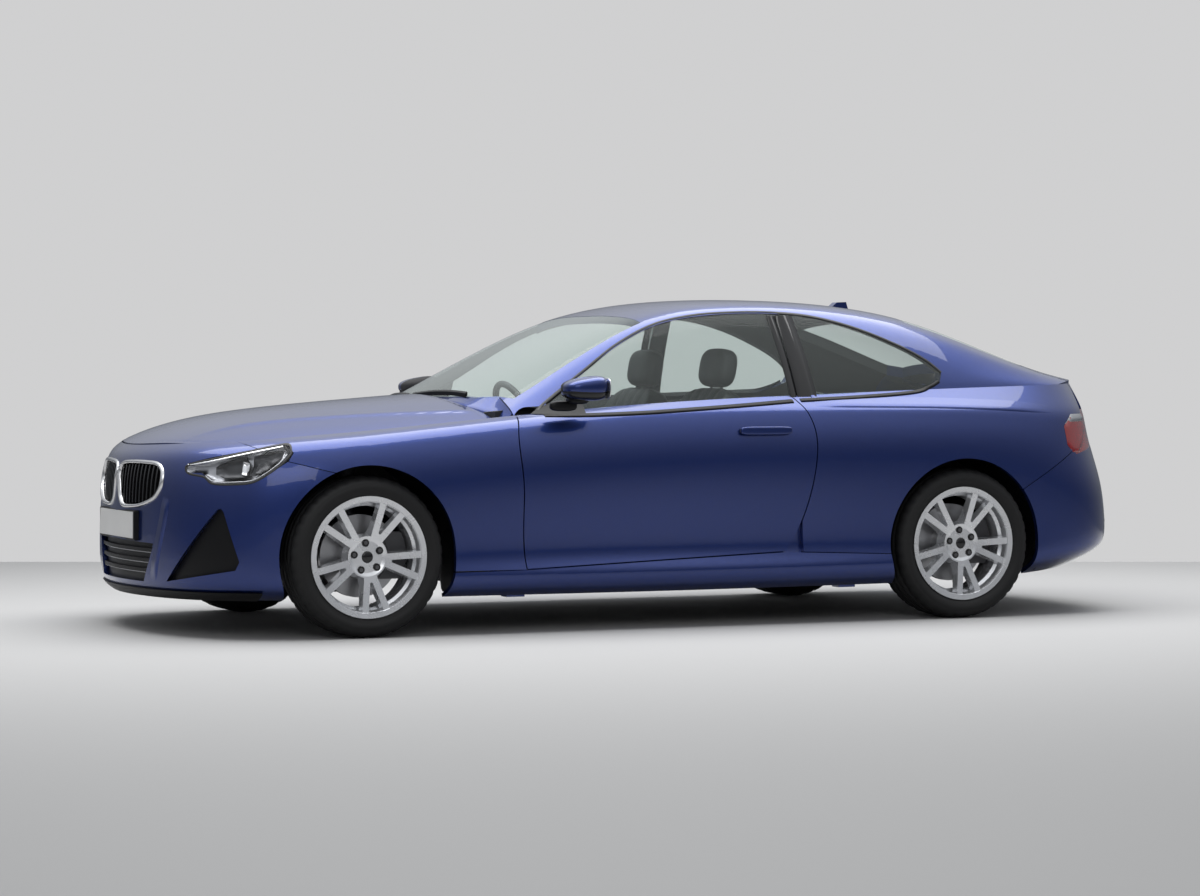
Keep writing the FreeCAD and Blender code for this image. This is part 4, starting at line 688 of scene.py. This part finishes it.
grip_x = 0.290
grip_z = 0.823
for side, label in sides:
    body = "door_" + label
    shape = bmesh.new()
    rounded(shape, (-0.568, side * 0.958, 1.003), (0.092, 0.077, 0.050), 3.0, mould=shell_mould)
    shell = mesh_piece("mirror_shell_" + label, shape, paint, body, "paint")
    shape = bmesh.new()
    rounded(shape, (-0.566, side * 0.954, 0.985), (0.089, 0.076, 0.046), 3.0, mould=shell_mould)
    mesh_piece("mirror_foot_" + label, shape, gloss, body, "black_plastic")
    shape = bmesh.new()
    rounded(shape, (-0.570, side * 0.892, 0.955), (0.045, 0.040, 0.018), 3.0)
    rounded(shape, (-0.625, side * 0.872, 0.930), (0.060, 0.020, 0.022), 3.0)
    mesh_piece("mirror_stalk_" + label, shape, black, body, "black_plastic")
    shape = bmesh.new()
    rounded(shape, (-0.478, side * 0.958, 1.002), (0.003, 0.066, 0.044), 4.0)
    mesh_piece("mirror_pane_" + label, shape, bright, body, "satin_trim")
    surface = surface_of("door_" + label)
    shape = bmesh.new()
    skin_y = surface.ray_cast(Vector((grip_x, side * beside, grip_z)), Vector((0, -side, 0)))[0].y
    rounded(shape, (grip_x, skin_y + side * 0.014, grip_z), (0.120, 0.011, 0.017), 5.0)
    for end_x in (0.187, 0.393):
        rounded(shape, (end_x, skin_y + side * 0.006, grip_z), (0.015, 0.012, 0.012), 4.0)
    mesh_piece("pull_handle_" + label, shape, paint, body, "paint")
    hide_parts("door_fittings_" + label)

# Seats: crowned leather cushions with three pleats and raised side bolsters, a squab, a backrest and
# a headrest on two posts for each front seat, and a bench of the same make across the rear.


def cushion(name, centre, half, tilt, bolster, pleats=0.0, power=4.5):
    def mould(place):
        rise = bolster * abs(place.y) ** 5 if place.z > 0 else 0.0
        for seam in (-0.5, -0.17, 0.17, 0.5):
            if place.z > 0.4:
                rise -= pleats * math.exp(-((place.y - seam) / 0.035) ** 2)
        return Vector((place.x, place.y, place.z + rise))
    shape = bmesh.new()
    rounded(shape, centre, half, power, tilt, 30, mould)
    piece = mesh_piece(name, shape, leather, "root", "seat_leather")
    return piece


seat_y = 0.380
for side, label in sides:
    y = side * seat_y
    squab = cushion("seat_squab_" + label, (-0.120, y, 0.400), (0.285, 0.245, 0.075),
                    math.radians(-4), 0.35, 0.10)
    cushion("seat_back_" + label, (0.200, y, 0.690), (0.325, 0.238, 0.070), math.radians(-68), 0.45, 0.10)
    cushion("seat_head_" + label, (0.322, y, 1.088), (0.085, 0.128, 0.050), math.radians(-80), 0.0, 0.0, 3.2)
    posts = bmesh.new()
    for offset in (-0.05, 0.05):
        stand = Matrix.Translation((0.315, y + offset, 1.000)) @ Matrix.Rotation(0.18, 4, "Y")
        bmesh.ops.create_cone(posts, cap_ends=True, segments=20, radius1=0.006, radius2=0.006, depth=0.10,
                              matrix=stand)
    for rail in (-0.17, 0.17):
        stretch = Matrix.Diagonal((0.48, 0.045, 0.036, 1.0))
        bmesh.ops.create_cube(posts, size=1.0, matrix=Matrix.Translation((-0.08, y + rail, 0.308)) @ stretch)
    mesh_piece("seat_frame_" + label, posts, steel, "root", "chassis_steel", smooth=False)
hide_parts("front_seats")
bench = cushion("bench_squab", (0.760, 0.0, 0.420), (0.225, 0.455, 0.075), math.radians(-3), 0.0, 0.08)
for side, label in sides:
    cushion("bench_back_" + label, (1.035, side * 0.228, 0.680), (0.245, 0.226, 0.062),
            math.radians(-70), 0.25, 0.10)
    cushion("bench_head_" + label, (1.120, side * 0.250, 0.925), (0.055, 0.115, 0.045),
            math.radians(-78), 0.0, 0.0, 3.2)
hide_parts("rear_bench")

# Pressed folds: the shoulder crease over the rear wheels and the fold that runs down the bumper from
# each nose frame. Each rises from the panel, has a sharp edge and fades out at both ends.


def fold(name, surface, points, above, below, rise, body="root", line=(0, 1, 0)):
    line = Vector(line).normalized()
    route = smooth_path(points, 14)
    section = ((above, -0.0012), (above * 0.6, 0.25), (above * 0.25, 0.7), (0, 1.0), (-below * 0.4, 0.6),
               (-below, -0.0012))
    shape = bmesh.new()
    rows = []
    for index, point in enumerate(route):
        across = heading(route, index).cross(line).normalized()
        if across.z < -0.2 or across.y > 0.5:
            across = -across
        share = index / (len(route) - 1)
        fade = eased(min(share / 0.2, (1 - share) / 0.2, 1.0)) * rise
        row = []
        for away, lift in section:
            height = lift if lift < 0 else lift * fade + 0.0003
            row.append(shape.verts.new(land(surface, point + across * away - line * ray_start, line, height)))
        rows.append(row)
    skin(shape, rows)
    return mesh_piece(name, shape, paint, body, "paint")


crease = [(0.560, 0.929), (0.722, 0.928), (1.000, 0.925), (1.206, 0.921), (1.500, 0.910), (1.730, 0.896)]
both_sides(fold, "shoulder_crease", [(x, -beside, z) for x, z in crease], ["body_side_SIDE"],
           above=0.045, below=0.012, rise=0.0055)
bumper_route = [(-2.21, -0.505, 0.560), (-2.21, -0.478, 0.460), (-2.21, -0.430, 0.340),
                (-2.20, -0.385, 0.225)]
both_sides(fold, "bumper_fold", bumper_route, ["front_bumper"], line=(0.85, 0.52, 0.0),
           above=0.050, below=0.016, rise=0.0070)

# Scuttle: the painted panel that closes the gap between the bonnet's rear edge and the screen's foot.
# Across the car, the bonnet's last hit and the first hit behind it give the panel's two edges.

behind = surface_of("fixed_windows", "body_side_left", "body_side_right")
above_scuttle = 1.06
screen_foot = 0.90
scuttle_section = ((0, -0.02), (0, 0), (0.35, -0.004), (0.7, -0.002), (1, 0))
shape = bmesh.new()
rows = []
for step in range(77):
    y = -0.76 + step * 0.02
    fore = aft = None
    for index in range(150):
        x = -1.02 + index * 0.003
        start = Vector((x, y, above_scuttle))
        hit = bonnet_top.ray_cast(start, down)[0]
        if hit is not None:
            fore = hit
        hit = behind.ray_cast(start, down)[0]
        if hit is not None and hit.z > screen_foot and aft is None and fore is not None and x > fore.x:
            aft = hit
    if fore is None or aft is None:
        continue
    low = fore + Vector((0.006, 0, -0.004))
    high = aft + Vector((0.006, 0, 0.002))
    rows.append([shape.verts.new(low.lerp(high, share) + Vector((0, 0, dip)))
                 for share, dip in scuttle_section])
skin(shape, rows)
mesh_piece("scuttle_panel", shape, paint, "root", "paint")

# Sail panels: black moulded triangles ahead of the door glass that carry the mirrors. Each lies on a
# smooth surface through the door's skin and glass, and moves with the door.

sail_spots = ((-0.70, 0.90), (-0.60, 0.89), (-0.50, 0.89), (-0.40, 1.0), (-0.55, 0.95))
sail_front = Vector((-0.735, 0, 0.897))
sail_rear = Vector((-0.505, 0, 0.893))
sail_top = Vector((-0.480, 0, 1.045))
for side, label in sides:
    surface = surface_of("door_" + label, "door_glass_" + label, "body_side_" + label)
    place = fitted(surface, [(x, side * beside, z) for x, z in sail_spots], (0, -side, 0), 0.015)
    shape = bmesh.new()
    rows = []
    for row in range(9):
        fore = sail_front.lerp(sail_top, row / 8)
        aft = sail_rear.lerp(sail_top, row / 8)
        rows.append([shape.verts.new(place(fore.lerp(aft, step / 8), 0.004)) for step in range(9)])
    skin(shape, rows)
    bmesh.ops.remove_doubles(shape, verts=shape.verts, dist=0.0005)
    mesh_piece("mirror_sail_" + label, shape, black, "door_" + label, "black_plastic")

# Arch flaps: dark moulded ends of the wheel house liners, fixed behind each wheel between the tyre
# and the body.

for side, label in sides:
    for name, x, low, high in (("front", -1.090, 0.165, 0.420), ("rear", 1.655, 0.196, 0.430)):
        shape = bmesh.new()
        rounded(shape, (x, side * 0.770, (low + high) / 2), (0.010, 0.085, (high - low) / 2), 6.0, cuts=6)
        mesh_piece("arch_flap_" + name + "_" + label, shape, black, "root", "under_panel")

# Lower intake: three thin strips of bright trim along its slats, each shorter than the one above. They
# lie on a smooth surface through the bumper's opening.

nose = surface_of("front_bumper", "intake_grilles")
nose_spots = [(-before_car, y, z) for y in (-0.3, -0.15, 0.0, 0.15, 0.3) for z in (0.24, 0.30, 0.36)]
place = fitted(nose, nose_spots, (1, 0, 0))
line_section = ((-0.003, -0.012), (-0.0022, 0.001), (0.0022, 0.001), (0.003, -0.012))
for number, z in enumerate((0.336, 0.294, 0.254)):
    width = 0.305 + (z - 0.216) * 0.50
    shape = bmesh.new()
    rows = []
    for step in range(41):
        y = -width + 2 * width * step / 40
        rows.append([shape.verts.new(place((0, y, z + rise), out)) for rise, out in line_section])
    skin(shape, rows)
    mesh_piece("intake_line_" + str(number), shape, pale_trim, "root", "satin_trim")

# Rear: moulded red lamp lenses with a pale upper segment, wrapped round the corners, and a black
# plastic lower apron with a small red reflector above each of its ends.

tail_line = (-0.62, 0.78, 0.0)
tail_skin = ["body_side_SIDE", "tail_lamps", "rear_bumper", "boot_lid"]
tail_outline = [(1.796, -0.849, 0.832), (1.806, -0.864, 0.748), (1.838, -0.858, 0.717),
                (1.884, -0.835, 0.716), (1.937, -0.784, 0.768), (1.981, -0.723, 0.834),
                (1.962, -0.726, 0.886), (1.852, -0.811, 0.885)]
tail_upper = [(1.802, -0.845, 0.841), (1.852, -0.811, 0.885), (1.962, -0.726, 0.886), (1.957, -0.744, 0.852)]
both_sides(plate_on, "tail_lens", tail_outline, tail_skin, line=tail_line, height=0.004, material=red_lens,
           slot="tail_lens", cell=0.015)
both_sides(plate_on, "tail_lens_upper", tail_upper, tail_skin, line=tail_line, height=0.006,
           material=pale_trim, slot="satin_trim", cell=0.015)
apron = [(-0.62, 0.200), (0.62, 0.200), (0.56, 0.330), (0.30, 0.365), (-0.30, 0.365), (-0.56, 0.330)]
behind_car = 3.0
plate_on("rear_apron", surface_of("rear_bumper"), [(behind_car, y, z) for y, z in apron], 0.003, black,
         "black_plastic", line=(-1, 0, 0))
reflector = [(behind_car, -0.50, 0.385), (behind_car, -0.57, 0.392), (behind_car, -0.64, 0.402)]
both_sides(strip, "rear_reflector", reflector, ["rear_bumper"], line=(-1, 0, 0), width=0.022, height=0.003,
           material=red_lens, slot="tail_lens")

# Number plate: a blank white plate of thin sheet, 500 by 110 mm, in a black moulded holder on the
# bumper between the nose frames and the lower intake.

white_plate = finish("plate_white", (0.80, 0.80, 0.79), 0.35, worn=0.05, depth=0.02)
for name, size, edge, segments, tilt, spot, material, slot in (
        ("number_plate_blank", (0.003, 0.500, 0.110), 0.0015, 2, math.radians(1.0),
         (-2.2735, 0.0, 0.443), white_plate, "satin_trim"),
        ("number_plate_holder", (0.030, 0.530, 0.124), 0.004, 3, 0.0,
         (-2.2575, 0.0, 0.442), black, "black_plastic")):
    shape = bmesh.new()
    bmesh.ops.create_cube(shape, size=1.0)
    bmesh.ops.scale(shape, verts=shape.verts, vec=size)
    bmesh.ops.bevel(shape, geom=shape.edges[:], offset=edge, segments=segments, affect="EDGES")
    bmesh.ops.rotate(shape, verts=shape.verts, matrix=Matrix.Rotation(tilt, 3, "Y"))
    bmesh.ops.translate(shape, verts=shape.verts, vec=spot)
    mesh_piece(name, shape, material, "root", slot, smooth=False)

# Tyres: bulged side walls with fine rings, and a tread of four grooves with slots across the
# shoulders, turned about each wheel's axle. Profile points are radius and distance along the axle.

front_axle = -1.4785
rear_axle = 1.2625
front_half = 0.1125
rear_half = 0.1225
wheel_y = 0.788
hub_z = 0.326


def lathe(name, profile, centre, side, material, slot, body, segments, slotted=(), every=1, deep=0.0):
    shape = bmesh.new()
    rows = []
    for step in range(segments):
        turn = 2 * math.pi * step / segments
        row = []
        for index, (radius, y) in enumerate(profile):
            if index in slotted and step % every == 0:
                radius -= deep
            row.append(shape.verts.new((centre[0] + radius * math.cos(turn), centre[1] + side * y,
                                        centre[2] + radius * math.sin(turn))))
        rows.append(row)
    skin(shape, rows, closed=True)
    return mesh_piece(name, shape, material, body, slot)


def tyre_profile(half):
    wall = [(0.2286, -0.0955), (0.243, -0.0962), (0.247, -0.099), (0.252, -0.101), (0.262, -half + 0.006),
            (0.266, -half + 0.0055), (0.268, -half + 0.004), (0.278, -half + 0.0015), (0.288, -half + 0.001),
            (0.290, -half + 0.0025), (0.297, -half + 0.003), (0.303, -half + 0.006), (0.3105, -half + 0.012),
            (0.3165, -half + 0.020), (0.3205, -half + 0.030)]
    crown = []
    for groove in (-0.062, -0.021, 0.021, 0.062):
        at = groove * half / front_half
        crown += [(0.3255, at - 0.0065), (0.3175, at - 0.005), (0.3175, at + 0.005), (0.3255, at + 0.0065)]
    return wall + crown + [(radius, -y) for radius, y in reversed(wall)]


shoulders = {12, 13, 14, 15, 30, 31, 32, 33}
wheels = {"fl": (front_axle, -1, front_half), "fr": (front_axle, 1, front_half),
          "rl": (rear_axle, -1, rear_half), "rr": (rear_axle, 1, rear_half)}
for wheel, (x, side, half) in wheels.items():
    tread = lathe("tread_" + wheel, tyre_profile(half), (x, side * wheel_y, hub_z), -side, rubber,
                  "tyre_rubber", "wheel_" + wheel, 160, slotted=shoulders, every=4, deep=0.004)
    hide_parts("tyre_" + wheel)

# Wheel centres: a plain dark cap in the hub and five bolt heads, each on a gloss black disc in the rim's face
# that is painted shade for the bolt's recess. Six rays round each bolt find how far out that face is.

cap = [(0.0005, 0.0815), (0.017, 0.0810), (0.0215, 0.0795), (0.0238, 0.0760), (0.0238, 0.060)]
bolt_circle = 0.058
shade_disc_radius = 0.0148
for wheel, (x, side, _) in wheels.items():
    lathe("hub_cap_" + wheel, cap, (x, side * wheel_y, hub_z), side, gloss, "gloss_black",
          "wheel_" + wheel, 48)
    rim = surface_of("rim_" + wheel)
    # The gloss black discs are painted shade: they stand in for the dark inside each bolt's recess.
    shade_discs = bmesh.new()
    bolts = bmesh.new()
    for index in range(5):
        turn = math.radians(98 + index * 72)
        if side > 0:
            turn = math.pi - turn
        spot = Vector((x + bolt_circle * math.cos(turn), side * beside, hub_z + bolt_circle * math.sin(turn)))
        reach = []
        for step in range(6):
            away = Vector((0.0145 * math.cos(step * 1.047), 0.0, 0.0145 * math.sin(step * 1.047)))
            hit = rim.ray_cast(spot + away, Vector((0, -side, 0)))[0]
            if hit is not None:
                reach.append(abs(hit.y))
        at = Matrix.Translation((spot.x, side * (max(reach) - 0.002), spot.z))
        at = at @ Matrix.Rotation(math.radians(90), 4, "X")
        bmesh.ops.create_cone(shade_discs, cap_ends=True, segments=32, radius1=shade_disc_radius, radius2=shade_disc_radius,
                              depth=0.006, matrix=at)
        proud = Matrix.Translation((0, side * 0.0024, 0))
        bmesh.ops.create_cone(bolts, cap_ends=True, segments=6, radius1=0.0088, radius2=0.0088, depth=0.006,
                              matrix=proud @ at)
    mesh_piece("bolt_shade_discs_" + wheel, shade_discs, gloss, "wheel_" + wheel, "gloss_black", smooth=False)
    mesh_piece("wheel_bolts_" + wheel, bolts, steel, "wheel_" + wheel, "brake_iron", smooth=False)
